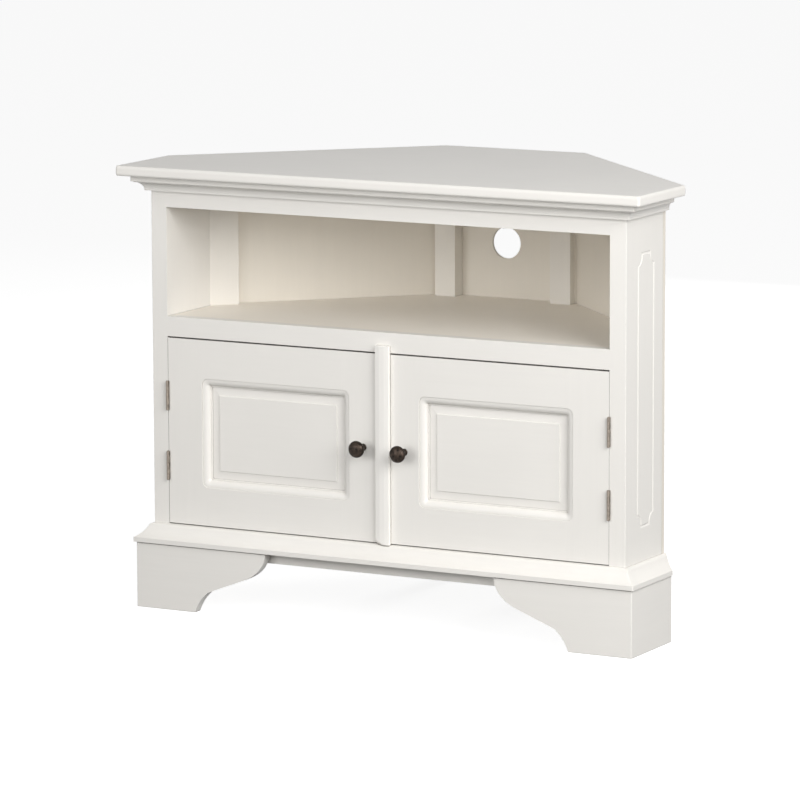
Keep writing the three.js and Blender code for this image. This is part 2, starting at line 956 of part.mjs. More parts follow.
// One door hangs on the left. The right one is its mirror image.
function door(side) {
  const group = new THREE.Group();
  group.position.set(side * pinX, pinY, 0);
  group.scale.x = -side;
  const name = side < 0 ? "left" : "right";
  const knobHeight = side < 0 ? doorMiddle : doorMiddle - rightKnobDrop;
  const wood = {
    hinge_stile: hingeStile(),
    meeting_stile: meetingStile(knobHeight),
    top_rail: doorRail(sightTop),
    bottom_rail: doorRail(doorBottom),
    raised_panel: raisedPanel(),
  };
  Object.entries(wood).forEach(([part, geometry]) => {
    group.add(piece(`door_${name}_${part}`, geometry, outsidePaint));
  });
  const pull = piece(`knob_${name}`, knob(), bronze);
  pull.position.set(screwAxis(), doorFace - seatGap, knobHeight);
  pull.rotation.x = Math.PI;
  const screw = piece(`knob_screw_${name}`, knobScrew(), steel);
  screw.position.set(screwAxis(), doorFace, knobHeight);
  group.add(pull, screw, piece(`strike_plate_${name}`, strikePlate(), steel));
  hingeHeights().forEach((z, i) => {
    const level = i ? "upper" : "lower";
    const leaf = piece(`hinge_${name}_${level}_door_leaf`, hingeLeaf(1, (k) => k % 2 === 1), brass);
    leaf.position.z = z;
    group.add(leaf);
  });
  return group;
}

// The fixed halves of a door's hinges stand with the carcass.
function frameHinges(side) {
  const group = new THREE.Group();
  group.position.set(side * pinX, pinY, 0);
  group.scale.x = -side;
  const name = side < 0 ? "left" : "right";
  hingeHeights().forEach((z, i) => {
    const level = i ? "upper" : "lower";
    const leaf = piece(
      `hinge_${name}_${level}_frame_leaf`,
      hingeLeaf(-1, (k) => k % 2 === 0),
      brass,
    );
    const pin = piece(`hinge_${name}_${level}_pin`, hingePin(), brass);
    leaf.position.z = z;
    pin.position.z = z;
    group.add(leaf, pin);
  });
  return group;
}

// Pieces that come in a right and a left one.
function pairedPieces(side) {
  const group = new THREE.Group();
  group.scale.x = side;
  const name = side < 0 ? "left" : "right";
  const postBottom = bottomRailBottom;
  const pieces = [
    [`side_panel_${name}`, sidePanel(), outsidePaint],
    [`cornice_${name}`, sideRun(corniceProfile()), outsidePaint],
    [`base_moulding_${name}`, sideRun(capProfile()), outsidePaint],
    [`foot_front_${name}`, frontFoot(), outsidePaint],
    [`foot_side_${name}`, sideFoot(), outsidePaint],
    [`glue_block_${name}`, glueBlock(), insidePaint],
    [`back_panel_${name}`, backPanels().slant, insidePaint],
    [`rear_post_side_${name}`, upright(sidePostPlan(0), postBottom, carcassTop), insidePaint],
    [`rear_post_back_${name}`, upright(backPostPlan(0), 0, carcassTop), insidePaint],
    [`magnetic_catch_${name}`, magneticCatch(), catchPlastic],
  ];
  pieces.forEach(([label, geometry, material]) => group.add(piece(label, geometry, material)));
  return group;
}

function middlePieces() {
  const group = new THREE.Group();
  const span = inner - seatGap;
  const rail = (bottom, top) => block(-span, span, 0, frameThickness, bottom, top);
  const pieces = [
    ["top_board", topBoard(), outsidePaint],
    ["cornice_front", frontRun(corniceProfile()), outsidePaint],
    ["frieze_rail", rail(friezeBottom, carcassTop), outsidePaint],
    ["shelf_rail", rail(shelfRailBottom, shelfTop), outsidePaint],
    ["bottom_rail", rail(bottomRailBottom, bottomRailTop), outsidePaint],
    ["base_moulding_front", frontRun(capProfile()), outsidePaint],
    ["media_shelf", innerBoard(shelfTop - shelfThickness, shelfTop), insidePaint],
    ["bottom_board", innerBoard(bottomBoardUnderside, bottomRailTop), insidePaint],
    ["middle_post", middlePost(), outsidePaint],
    ["middle_bead", bead(), outsidePaint],
    ["back_panel_centre", backPanels().centre, insidePaint],
  ];
  pieces.forEach(([label, geometry, material]) => group.add(piece(label, geometry, material)));
  return group;
}

const cabinet = new THREE.Group();
cabinet.name = "corner_tv_cabinet";
cabinet.position.y = -(topFront + topBack) / 2;
cabinet.add(middlePieces());
[-1, 1].forEach((side) => cabinet.add(pairedPieces(side), frameHinges(side), door(side)));

export default cabinet;
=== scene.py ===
"""Looks of a painted corner cabinet for a television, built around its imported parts.

Lengths are in metres, +Z is up and the doors face -Y. Places come from the frame, and what the
frame doesn't say, such as the profile of a moulding, is named here.
"""

import math

import bmesh
import bpy
from mathutils import Matrix, Vector

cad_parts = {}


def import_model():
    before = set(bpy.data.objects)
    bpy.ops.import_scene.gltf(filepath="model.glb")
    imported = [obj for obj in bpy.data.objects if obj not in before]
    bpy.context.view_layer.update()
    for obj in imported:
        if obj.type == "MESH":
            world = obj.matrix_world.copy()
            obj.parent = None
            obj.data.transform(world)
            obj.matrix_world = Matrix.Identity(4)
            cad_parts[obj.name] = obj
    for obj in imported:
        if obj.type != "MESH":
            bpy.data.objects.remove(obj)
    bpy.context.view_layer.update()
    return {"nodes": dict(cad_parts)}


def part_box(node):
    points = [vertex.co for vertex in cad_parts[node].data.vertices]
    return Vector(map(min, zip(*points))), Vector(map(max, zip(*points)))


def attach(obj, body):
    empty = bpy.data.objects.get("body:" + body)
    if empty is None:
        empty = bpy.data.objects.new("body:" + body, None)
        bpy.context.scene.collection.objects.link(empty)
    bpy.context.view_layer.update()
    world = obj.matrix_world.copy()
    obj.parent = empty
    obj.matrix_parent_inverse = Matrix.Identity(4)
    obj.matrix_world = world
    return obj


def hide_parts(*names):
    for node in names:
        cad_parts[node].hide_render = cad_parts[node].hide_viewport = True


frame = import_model()


def mm(length):
    return length / 1000


ROOT2 = math.sqrt(2)
QUARTER = math.pi / 2
X, Y, Z = range(3)


def low(node, axis):
    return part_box(node)[0][axis]


def high(node, axis):
    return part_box(node)[1][axis]


# Places of the carcass, from the frame
HALF = high("side_panel_right", X)
INNER = low("side_panel_right", X)
FRONT = low("frieze_rail", Y)
FLAT_BACK = high("back_panel_centre", Y)
BACK_CORNER = high("back_panel_centre", X)
REAR_OUTER = BACK_CORNER + FLAT_BACK  # x + y on the outside of a slanted rear panel
REAR_INNER = INNER + high("side_panel_right", Y)
CARCASS_LOW = low("side_panel_right", Z)
CARCASS_TOP = high("side_panel_right", Z)

# Camera, solved from the photograph
FOCAL_LENGTH = 227.94  # millimetres, as Blender has it
SENSOR_WIDTH = 36
CAMERA_DISTANCE = 8.5643
CAMERA_AZIMUTH = math.radians(28.316)
CAMERA_ELEVATION = math.radians(9.1535)
CAMERA_ROLL = math.radians(-0.194)
CAMERA_TARGET = Vector((mm(31.5), FRONT, mm(398.7)))
CLIP_END = 100

# Softened edges
ARRIS = mm(0.9)
SIDE_ARRIS = mm(1)
SEAM_ARRIS = mm(0.6)
FINE_ARRIS = mm(0.4)
DOOR_ARRIS = mm(0.2)
METAL_ARRIS = mm(0.15)
POST_ARRIS = mm(0.2)
COAT = mm(0.35)  # thickness of paint that fills the joints of a piece
FILLER = mm(6.5)  # width of the filler in the sharp joint beside a back post
EDGE_STEPS = 3
EDGE_PROFILE = 0.5  # round, as Blender counts it
SHARP_ANGLE = math.radians(32)
FLAT_ANGLE = math.radians(0.5)
WELD = 1e-6
OVERRUN = mm(1)

# Top board: inset and rise of its rounded nose
NOSE_UPPER = (mm(3.5), mm(6))
NOSE_LOWER = (mm(2.8), mm(4.5))
TOP_CORNER = mm(4.5)

# Cornice and base moulding, as far as the frame doesn't give them
MOULDING_CORNER = mm(1.8)
MITRE_SHARE = 0.5  # how far round a corner its two pieces meet
CORNER_FAN = 4
FILLET_HEIGHT = mm(10.5)
FILLET_ARRIS = mm(1.2)
COVE_INSET = mm(3.5)  # the cove starts behind the fillet
COVE_QUIRK = mm(1.2)
COVE_FOOT = mm(8.7)
CAP_FILLET = mm(8.3)
OGEE_TURN = (mm(9), mm(6.3))  # reach, and drop below the top of the cap
OGEE_HOLLOW = (mm(16), mm(18.3))
OGEE_ROUND = (mm(7), mm(0.6))
OGEE_END = mm(0.6)
CURVE_STEPS = 12

# Front feet
FOOT_TOE = mm(117)
FOOT_BELLY = (mm(212), mm(63.5))  # where its round turns into a straight run
FOOT_PULL = (mm(2.5), mm(80))  # the round leaves the cap towards this place
FOOT_NOTCH = (mm(142), mm(36.5))
FOOT_STEP = mm(3.5)
FOOT_HEEL = (mm(14), mm(20.5))
FOOT_REVEAL = mm(1.5)  # shadow gap under the cap

# Doors
STICKING_WIDTH = mm(14.5)
STICKING_DEPTH = mm(12)
STICKING_QUIRK = mm(1.6)
STICKING_EDGE = mm(1.8)
STICKING_FOOT = mm(2.3)
STICKING_LIP = mm(1.8)
STICKING_CORNERS = (mm(11), mm(0.8))  # outer and inner radius
STICKING_STEPS = 12
DOOR_CORNER = mm(0.05)
GROOVE_DEPTH = mm(8)
GROOVE_WIDTH = mm(5.5)
JOINT_STUB = mm(0.1)
MEETING_LEAN = mm(1.5)  # of the meeting edge, so that it clears the bead
PANEL_GAP = mm(0.3)
BEVEL_WIDTH = mm(14.5)
BEVEL_RISE = mm(1.2)
FIELD_STEP = mm(1.6)
FIELD_ROUND = mm(0.8)
PANEL_CORNER = mm(0.3)
CORNER_STEPS = 8

# Carved line on each side
CARVING_MARGIN = mm(43)
CARVING_WIDTH = mm(64)
CARVING_LOWER_MARGIN = mm(57.7)
CARVING_UPPER_MARGIN = mm(61.5)
CARVING_SCOOP = mm(14)
CARVING_NECK = mm(1)
CARVING_GROOVE = mm(5)
CARVING_DEPTH = mm(1.3)
CARVING_STEPS = 8

# Hole in the back for leads
HOLE_DIAMETER = mm(56)
HOLE_PLACE = (mm(-6), mm(610))
HOLE_SIDES = 96

# Bead between the doors
BEAD_EDGE = mm(7)
BEAD_CROWN = mm(8)
BEAD_FLAT = mm(9)
BEAD_HIP = mm(0.9)  # radius where the flat turns
BEAD_CHIP = (mm(3), mm(8))  # a chip off its lower left end: right of the middle, and up the side

# Knobs, hinges, screws and catches
KNOB_FLANGE = (mm(6.2), mm(3))  # radius and thickness
KNOB_NECK = mm(4.5)
KNOB_HEAD_START = mm(16)
KNOB_HEAD_TURN = -math.pi / 3  # where the round of the head leaves the neck
ROUND_SIDES = 64
LEAF_THICKNESS = mm(1.5)
GAIN_GAP = mm(0.3)
SCREW_HEAD = (mm(4), mm(2.6))  # radius and thickness
SCREW_SHANK = mm(2)
SLOT_WIDTH = mm(0.8)
SLOT_DEPTH = mm(0.9)
PLATE_SCREW = (mm(2.6), mm(2.9))  # radii of the ring round a countersunk head
PLATE_SCREW_DEPTH = mm(0.3)
CATCH_NOSE = mm(1.2)  # how far the pole plates stand out of a catch
POLE_THICKNESS = mm(1.4)
POLE_SPREAD = mm(5)
POLE_LENGTH = mm(26)
POLE_DEPTH = mm(8)

# Light
KEY = {"azimuth": 60, "elevation": 23, "distance": 3.6, "size": 2.2, "power": 105}
FILL = {"azimuth": -20, "elevation": 12, "distance": 4, "size": 2, "power": 45}
FRONT_LIGHT = {"azimuth": 20, "elevation": 19, "distance": 4, "size": 2, "power": 29.5}
REAR_LIGHT = {"azimuth": 180, "elevation": 4, "distance": 4, "size": 1.2, "power": 110}
SKY = 0.19

# Floor
FLOOR_SIZE = 60
FLOOR_TONE = 0.08
FLOOR_SHOWN_TONE = 0.36
FLOOR_GLOW = 0.87

# Colours, in linear light
PAINT = (0.86, 0.835, 0.79)
BEAD_PAINT = (0.91, 0.885, 0.84)
# Inside the bay: paints warmer than the outside paint stand in for warm bounced light in its shade
# (painted light), and the shelf is also lighter as painted light
SHELF_PAINT_WITH_PAINTED_BOUNCE = (0.95, 0.90, 0.82)
POST_PAINT_WITH_PAINTED_BOUNCE = (0.85, 0.815, 0.755)
BACK_PAINT_WITH_PAINTED_BOUNCE = (0.84, 0.79, 0.705)
# Painted shade with dirt: joints and narrow gaps darken towards these colours
GRIME_AND_PAINTED_SHADE = (0.11, 0.085, 0.06)
INSIDE_GRIME_AND_PAINTED_SHADE = (0.66, 0.61, 0.54)
PLASTIC = (0.80, 0.77, 0.70)

# Brushed paint. Each noise has its scale, detail and roughness, each bump its strength and height.
OUTSIDE_ROUGHNESS = 0.42
SHELF_ROUGHNESS = 0.5
INSIDE_ROUGHNESS = 0.55
PAINT_ROUGHNESS_SPREAD = (-0.06, 0.08)
GRAIN_STRETCH = 0.05  # noises change this much slower along the grain
BRISTLES = (900, 4, 0.6)
STROKES = (260, 3, 0.55)
BANDS = (70, 3, 0.5)
CLOUDS = (6, 2, 0.5)
BRISTLE_BUMP = (0.16, mm(0.12))
STROKE_BUMP = (0.2, mm(0.25))
BAND_BUMP = (0.15, mm(0.6))
TONE_GAINS = (0.982, 1.012)
TONE_SPAN = (0.36, 0.64)
NOISE_SPAN = (0.3, 0.7)  # where most of a noise lies
# Painted shade with dirt in joints and gaps: reach of the occlusion, the span of it that darkens, and
# its samples
GRIME_AND_PAINTED_SHADE_REACH = mm(4)
GRIME_AND_PAINTED_SHADE_SPAN = (0.1, 0.75)
GRIME_AND_PAINTED_SHADE_SAMPLES = 8

# Metals: a noise mottles them from the colour to the colour times the gain
AGED_BRASS = {
    "colour": (0.17, 0.145, 0.12),
    "gain": 2.1,
    "roughness": 0.45,
    "metallic": 0.35,
    "scale": 200,
}
BRONZE = {
    "colour": (0.004, 0.0028, 0.0021),
    "gain": 15,
    "roughness": 0.36,
    "metallic": 0.8,
    "scale": 200,
}
STEEL = {
    "colour": (0.55, 0.55, 0.56),
    "gain": 0.8,
    "roughness": 0.36,
    "metallic": 1,
    "scale": 400,
}
MOTTLING = (5, 0.6)
METAL_GRAIN = (3, 0.5)
METAL_GRAIN_GAIN = 4  # how much finer it is than the mottling
METAL_ROUGHNESS_SPREAD = (-0.08, 0.1)
METAL_BUMP = (0.2, mm(0.1))

# Plastic
PLASTIC_CLOUDS = (90, 3, 0.5)
PLASTIC_GRAIN = (2500, 2, 0.5)
PLASTIC_GAIN = 0.95
PLASTIC_ROUGHNESS = (0.45, 0.6)
PLASTIC_BUMP = (0.2, mm(0.05))


def link(name, mesh):
    piece = bpy.data.objects.new(name, mesh)
    bpy.context.scene.collection.objects.link(piece)
    return piece


def shade(mesh):
    """Smooth over curves, sharp at the corners."""
    mesh.shade_smooth()
    mesh.set_sharp_from_angle(angle=SHARP_ANGLE)


def from_bmesh(name, bm):
    bmesh.ops.recalc_face_normals(bm, faces=bm.faces)
    mesh = bpy.data.meshes.new(name)
    bm.to_mesh(mesh)
    bm.free()
    shade(mesh)
    return link(name, mesh)


def loft(name, rings, closed=False):
    """A skin through rings of as many points each. A closed one runs back into its first ring."""
    count = len(rings[0])
    bm = bmesh.new()
    levels = [[bm.verts.new(place) for place in ring] for ring in rings]
    steps = list(zip(levels, levels[1:]))
    if closed:
        steps.append((levels[-1], levels[0]))
    for lower, upper in steps:
        for i in range(count):
            j = (i + 1) % count
            bm.faces.new((lower[i], lower[j], upper[j], upper[i]))
    if not closed:
        bm.faces.new(levels[0])
        bm.faces.new(levels[-1])
    return from_bmesh(name, bm)


def lathe(name, profile, sides=ROUND_SIDES):
    """A profile of radius and height, turned about Z. It starts and ends on the axis."""
    bm = bmesh.new()
    ends = [bm.verts.new((0, 0, height)) for _, height in (profile[0], profile[-1])]
    rings = []
    for radius, height in profile[1:-1]:
        angles = [2 * math.pi * i / sides for i in range(sides)]
        ring = [bm.verts.new((radius * math.cos(a), radius * math.sin(a), height)) for a in angles]
        rings.append(ring)
    for lower, upper in zip(rings, rings[1:]):
        for i in range(sides):
            j = (i + 1) % sides
            bm.faces.new((lower[i], lower[j], upper[j], upper[i]))
    for end, ring in zip(ends, (rings[0], rings[-1])):
        for i in range(sides):
            bm.faces.new((end, ring[i], ring[(i + 1) % sides]))
    return from_bmesh(name, bm)


def stand_out(piece, x, y, z):
    """Turns a piece that was made about Z to point at -Y, with its base at the given place."""
    turn = Matrix.Rotation(QUARTER, 4, "X")
    piece.data.transform(Matrix.Translation((x, y, z)) @ turn)
    return piece


def bend(start, pull, end, steps=CURVE_STEPS):
    """Points of a curve that leaves start and reaches end along the lines to pull."""
    points = []
    for step in range(1, steps + 1):
        t = step / steps
        shares = ((1 - t) ** 2, 2 * t * (1 - t), t * t)
        corners = (start, pull, end)
        points.append(tuple(sum(s * c[axis] for s, c in zip(shares, corners)) for axis in (0, 1)))
    return points


def arc(centre, radii, start, end, steps=CURVE_STEPS):
    angles = [start + (end - start) * i / steps for i in range(steps + 1)]
    return [(centre[0] + radii[0] * math.cos(a), centre[1] + radii[1] * math.sin(a)) for a in angles]


def rounded(outline, radius, steps=EDGE_STEPS):
    """The outline with each corner turned into an arc. radius is one value, or one for each corner."""
    radii = radius if isinstance(radius, (list, tuple)) else [radius] * len(outline)
    points = []
    for i, corner_radius in enumerate(radii):
        corner = Vector(outline[i])
        if not corner_radius:
            points.append(tuple(corner))
            continue
        before = (Vector(outline[i - 1]) - corner).normalized()
        after = (Vector(outline[(i + 1) % len(outline)]) - corner).normalized()
        half_angle = before.angle(after) / 2
        centre = corner + (before + after).normalized() * corner_radius / math.sin(half_angle)
        start = corner + before * corner_radius / math.tan(half_angle) - centre
        end = corner + after * corner_radius / math.tan(half_angle) - centre
        for step in range(steps + 1):
            points.append(tuple(centre + start.slerp(end, step / steps) * corner_radius))
    return points


def corner_plan(half, front, back, rear):
    """Plan of the cabinet: two sides, two slanted rear edges and a flat back."""
    return [
        (-half, front),
        (half, front),
        (half, rear - half),
        (rear - back, back),
        (back - rear, back),
        (-half, rear - half),
    ]


def mirrored(points, side):
    """The points of a right hand piece, for the side that is asked for."""
    return [(side * x, y, z) for x, y, z in points]


def upright(plan, bottom, top, side=1):
    """Two rings of a plan in x and y, for a loft that stands."""
    return [mirrored([(x, y, z) for x, y in plan], side) for z in (bottom, top)]


def cut(piece, *cutters):
    """Takes the cutters out of the piece, and removes them."""
    for cutter in cutters:
        modifier = piece.modifiers.new("cut", "BOOLEAN")
        modifier.operation = "DIFFERENCE"
        modifier.solver = "EXACT"
        modifier.object = cutter
    view_layer = bpy.context.view_layer
    view_layer.update()
    mesh = bpy.data.meshes.new_from_object(piece.evaluated_get(view_layer.depsgraph))
    piece.modifiers.clear()
    piece.data = mesh
    for cutter in cutters:
        bpy.data.objects.remove(cutter)
    shade(piece.data)
    return piece


def box_mesh(*boxes):
    """Plain boxes in one mesh, each of its lowest and highest corner."""
    bm = bmesh.new()
    for lowest, highest in boxes:
        made = bmesh.ops.create_cube(bm, size=1)["verts"]
        size = Vector(highest) - Vector(lowest)
        bmesh.ops.scale(bm, vec=size, verts=made)
        bmesh.ops.translate(bm, vec=Vector(lowest) + size / 2, verts=made)
    return bm


def softened(name, bm, width, skip=None):
    """Rounds every sharp edge of a solid, apart from those that skip picks by their middle."""
    bmesh.ops.remove_doubles(bm, verts=bm.verts, dist=WELD)
    bmesh.ops.dissolve_limit(
        bm, angle_limit=FLAT_ANGLE, verts=bm.verts, edges=bm.edges, use_dissolve_boundaries=False
    )
    bmesh.ops.recalc_face_normals(bm, faces=bm.faces)
    edges = [
        edge
        for edge in bm.edges
        if edge.is_manifold
        and edge.calc_face_angle(0) > SHARP_ANGLE
        and not (skip and skip((edge.verts[0].co + edge.verts[1].co) / 2))
    ]
    bmesh.ops.bevel(
        bm,
        geom=edges,
        offset=width,
        segments=EDGE_STEPS,
        profile=EDGE_PROFILE,
        affect="EDGES",
        clamp_overlap=True,
        miter_outer="ARC",
    )
    return from_bmesh(name, bm)


def softened_node(node, name, width=ARRIS, skip=None, coat=0):
    """A new piece of the shape of a CAD node, with rounded edges and a coat of paint."""
    bm = bmesh.new()
    bm.from_mesh(frame["nodes"][node].data)
    bmesh.ops.remove_doubles(bm, verts=bm.verts, dist=WELD)
    bmesh.ops.recalc_face_normals(bm, faces=bm.faces)
    coated = [vert.co + vert.normal * coat * vert.calc_shell_factor() for vert in bm.verts]
    for vert, place in zip(bm.verts, coated):
        vert.co = (place.x, place.y, max(place.z, 0))
    return softened(name, bm, width, skip)


def softened_piece(piece, width=ARRIS, skip=None):
    """The piece with rounded edges."""
    name = piece.name
    bm = bmesh.new()
    bm.from_mesh(piece.data)
    bpy.data.objects.remove(piece)
    return softened(name, bm, width, skip)


def place(piece, body, material, slot, *nodes):
    """Gives a piece its material and its body, and hides the CAD nodes that it stands for."""
    piece.data.materials.clear()
    piece.data.materials.append(material)
    shading = piece.modifiers.new("flat_faces", "WEIGHTED_NORMAL")
    shading.keep_sharp = True
    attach(piece, body)
    if nodes:
        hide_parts(*nodes)
    return piece


# Materials


def new_material(name):
    material = bpy.data.materials.new(name)
    material.use_nodes = True
    nodes = material.node_tree.nodes
    return material, nodes, material.node_tree.links, nodes["Principled BSDF"]


def noise(nodes, links, vector, scale, detail, roughness):
    texture = nodes.new("ShaderNodeTexNoise")
    texture.inputs["Scale"].default_value = scale
    texture.inputs["Detail"].default_value = detail
    texture.inputs["Roughness"].default_value = roughness
    links.new(vector, texture.inputs["Vector"])
    return texture.outputs["Fac"]


def spread(nodes, links, value, lowest, highest, span=NOISE_SPAN):
    """Maps the values of a span to a range."""
    mapped = nodes.new("ShaderNodeMapRange")
    mapped.inputs["From Min"].default_value = span[0]
    mapped.inputs["From Max"].default_value = span[1]
    mapped.inputs["To Min"].default_value = lowest
    mapped.inputs["To Max"].default_value = highest
    links.new(value, mapped.inputs["Value"])
    return mapped.outputs["Result"]


def blend_colours(nodes, links, factor, first, second):
    """A mix of two colours, of which the second may be another node's."""
    mix = nodes.new("ShaderNodeMix")
    mix.data_type = "RGBA"
    mix.inputs["A"].default_value = (*first, 1)
    if isinstance(second, tuple):
        mix.inputs["B"].default_value = (*second, 1)
    else:
        links.new(second, mix.inputs["B"])
    links.new(factor, mix.inputs["Factor"])
    return mix.outputs["Result"]


def average(nodes, links, first, second):
    total = nodes.new("ShaderNodeMath")
    total.operation = "ADD"
    links.new(first, total.inputs[0])
    links.new(second, total.inputs[1])
    half = nodes.new("ShaderNodeMath")
    half.operation = "MULTIPLY"
    half.inputs[1].default_value = 0.5
    links.new(total.outputs[0], half.inputs[0])
    return half.outputs[0]


def bumped(nodes, links, height, strength, distance, below=None):
    bump = nodes.new("ShaderNodeBump")
    bump.inputs["Strength"].default_value = strength
    bump.inputs["Distance"].default_value = distance
    links.new(height, bump.inputs["Height"])
    if below:
        links.new(below, bump.inputs["Normal"])
    return bump.outputs["Normal"]


def painted_shade_openness(nodes, links):
    """1 in the open, falling to 0 in joints and narrow gaps, where it lays painted shade and dirt."""
    occlusion = nodes.new("ShaderNodeAmbientOcclusion")
    occlusion.samples = GRIME_AND_PAINTED_SHADE_SAMPLES
    occlusion.inputs["Distance"].default_value = GRIME_AND_PAINTED_SHADE_REACH
    return spread(nodes, links, occlusion.outputs["AO"], 0, 1, GRIME_AND_PAINTED_SHADE_SPAN)


def scaled(colour, factor):
    return tuple(channel * factor for channel in colour)


def spread_round(nodes, links, value, middle, offsets):
    """Maps a noise to a range that lies round a middle value."""
    return spread(nodes, links, value, middle + offsets[0], middle + offsets[1])


def painted(name, colour, grain, roughness=OUTSIDE_ROUGHNESS, grime_and_shade=GRIME_AND_PAINTED_SHADE):
    """Brushed satin paint on wood: brush marks along the grain, and painted shade with dirt that
    darkens joints and narrow gaps.
    """
    material, nodes, links, shader = new_material(name)
    coordinates = nodes.new("ShaderNodeTexCoord").outputs["Object"]
    stretched = nodes.new("ShaderNodeMapping")
    scales = [1, 1, 1]
    scales[grain] = GRAIN_STRETCH
    stretched.inputs["Scale"].default_value = scales
    links.new(coordinates, stretched.inputs["Vector"])
    along = stretched.outputs["Vector"]
    bristles = noise(nodes, links, along, *BRISTLES)
    strokes = noise(nodes, links, along, *STROKES)
    bands = noise(nodes, links, along, *BANDS)
    clouds = noise(nodes, links, coordinates, *CLOUDS)
    tone = average(nodes, links, average(nodes, links, strokes, bands), clouds)
    factor = spread(nodes, links, tone, 0, 1, TONE_SPAN)
    darker, lighter = [scaled(colour, gain) for gain in TONE_GAINS]
    clean = blend_colours(nodes, links, factor, darker, lighter)
    # painted shade with dirt, darker where occlusion finds joints and narrow gaps
    soiled_and_shaded = blend_colours(nodes, links, painted_shade_openness(nodes, links), grime_and_shade, clean)
    links.new(soiled_and_shaded, shader.inputs["Base Color"])
    gloss = average(nodes, links, bristles, strokes)
    dullness = spread_round(nodes, links, gloss, roughness, PAINT_ROUGHNESS_SPREAD)
    links.new(dullness, shader.inputs["Roughness"])
    fine = bumped(nodes, links, bristles, *BRISTLE_BUMP)
    middle = bumped(nodes, links, strokes, *STROKE_BUMP, fine)
    links.new(bumped(nodes, links, bands, *BAND_BUMP, middle), shader.inputs["Normal"])
    return material


def metal(name, colour, gain, roughness, metallic, scale):
    """Metal with a mottled tone."""
    material, nodes, links, shader = new_material(name)
    coordinates = nodes.new("ShaderNodeTexCoord").outputs["Object"]
    mottling = noise(nodes, links, coordinates, scale, *MOTTLING)
    factor = spread(nodes, links, mottling, 0, 1)
    tone = blend_colours(nodes, links, factor, colour, scaled(colour, gain))
    links.new(tone, shader.inputs["Base Color"])
    shader.inputs["Metallic"].default_value = metallic
    grain = noise(nodes, links, coordinates, METAL_GRAIN_GAIN * scale, *METAL_GRAIN)
    dullness = spread_round(nodes, links, grain, roughness, METAL_ROUGHNESS_SPREAD)
    links.new(dullness, shader.inputs["Roughness"])
    links.new(bumped(nodes, links, grain, *METAL_BUMP), shader.inputs["Normal"])
    return material


def moulded_plastic(name, colour):
    material, nodes, links, shader = new_material(name)
    coordinates = nodes.new("ShaderNodeTexCoord").outputs["Object"]
    clouds = noise(nodes, links, coordinates, *PLASTIC_CLOUDS)
    factor = spread(nodes, links, clouds, 0, 1)
    tone = blend_colours(nodes, links, factor, scaled(colour, PLASTIC_GAIN), colour)
    links.new(tone, shader.inputs["Base Color"])
    grain = noise(nodes, links, coordinates, *PLASTIC_GRAIN)
    links.new(spread(nodes, links, grain, *PLASTIC_ROUGHNESS), shader.inputs["Roughness"])
    links.new(bumped(nodes, links, grain, *PLASTIC_BUMP), shader.inputs["Normal"])
    return material


PAINTS = {axis: painted(f"paint_along_{label}", PAINT, axis) for axis, label in enumerate("xyz")}
BEAD = painted("bead_paint", BEAD_PAINT, Z)
SHELF_PAINTED_BOUNCE = painted("shelf_paint_painted_bounce", SHELF_PAINT_WITH_PAINTED_BOUNCE, X, SHELF_ROUGHNESS, INSIDE_GRIME_AND_PAINTED_SHADE)
POST_PAINTED_BOUNCE = painted("post_paint_painted_bounce", POST_PAINT_WITH_PAINTED_BOUNCE, Z, INSIDE_ROUGHNESS, INSIDE_GRIME_AND_PAINTED_SHADE)
BACK_PAINTED_BOUNCE = painted("back_paint_painted_bounce", BACK_PAINT_WITH_PAINTED_BOUNCE, Z, INSIDE_ROUGHNESS, INSIDE_GRIME_AND_PAINTED_SHADE)
METALS = {
    "hinge_brass": metal("aged_brass", **AGED_BRASS),
    "knob_bronze": metal("dark_bronze", **BRONZE),
    "screw_steel": metal("steel", **STEEL),
}
CATCH_PLASTIC = moulded_plastic("catch_plastic", PLASTIC)
OUTSIDE_SLOT = "outside_paint"
INSIDE_SLOT = "inside_paint"


# Carcass


def top_board():
    lowest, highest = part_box("top_board")
    rear = REAR_OUTER + (highest.y - FLAT_BACK) * ROOT2

    def ring(inset, z):
        half, front, back = highest.x - inset, lowest.y + inset, highest.y - inset
        outline = corner_plan(half, front, back, rear - inset * ROOT2)
        return [(x, y, z) for x, y in rounded(outline, TOP_CORNER - inset, CORNER_STEPS)]

    lower_centre = (NOSE_LOWER[0], lowest.z + NOSE_LOWER[1])
    upper_centre = (NOSE_UPPER[0], highest.z - NOSE_UPPER[1])
    lower = arc(lower_centre, NOSE_LOWER, 3 * QUARTER, math.pi, CORNER_STEPS)
    upper = arc(upper_centre, NOSE_UPPER, math.pi, QUARTER, CORNER_STEPS)
    piece = loft("top_board_painted", [ring(inset, z) for inset, z in lower + upper])
    place(piece, "cabinet", PAINTS[X], OUTSIDE_SLOT, "top_board")


def corner_point(reach, share):
    """Where a rounded corner of a moulding runs: at 0 it leaves the front, at 1 it meets the side."""
    angle = share * QUARTER
    x = HALF + reach - MOULDING_CORNER * (1 - math.sin(angle))
    y = FRONT - reach + MOULDING_CORNER * (1 - math.cos(angle))
    return x, y


def fan(start, end):
    """Shares of a corner between two of its places."""
    return [start + (end - start) * step / CORNER_FAN for step in range(CORNER_FAN + 1)]


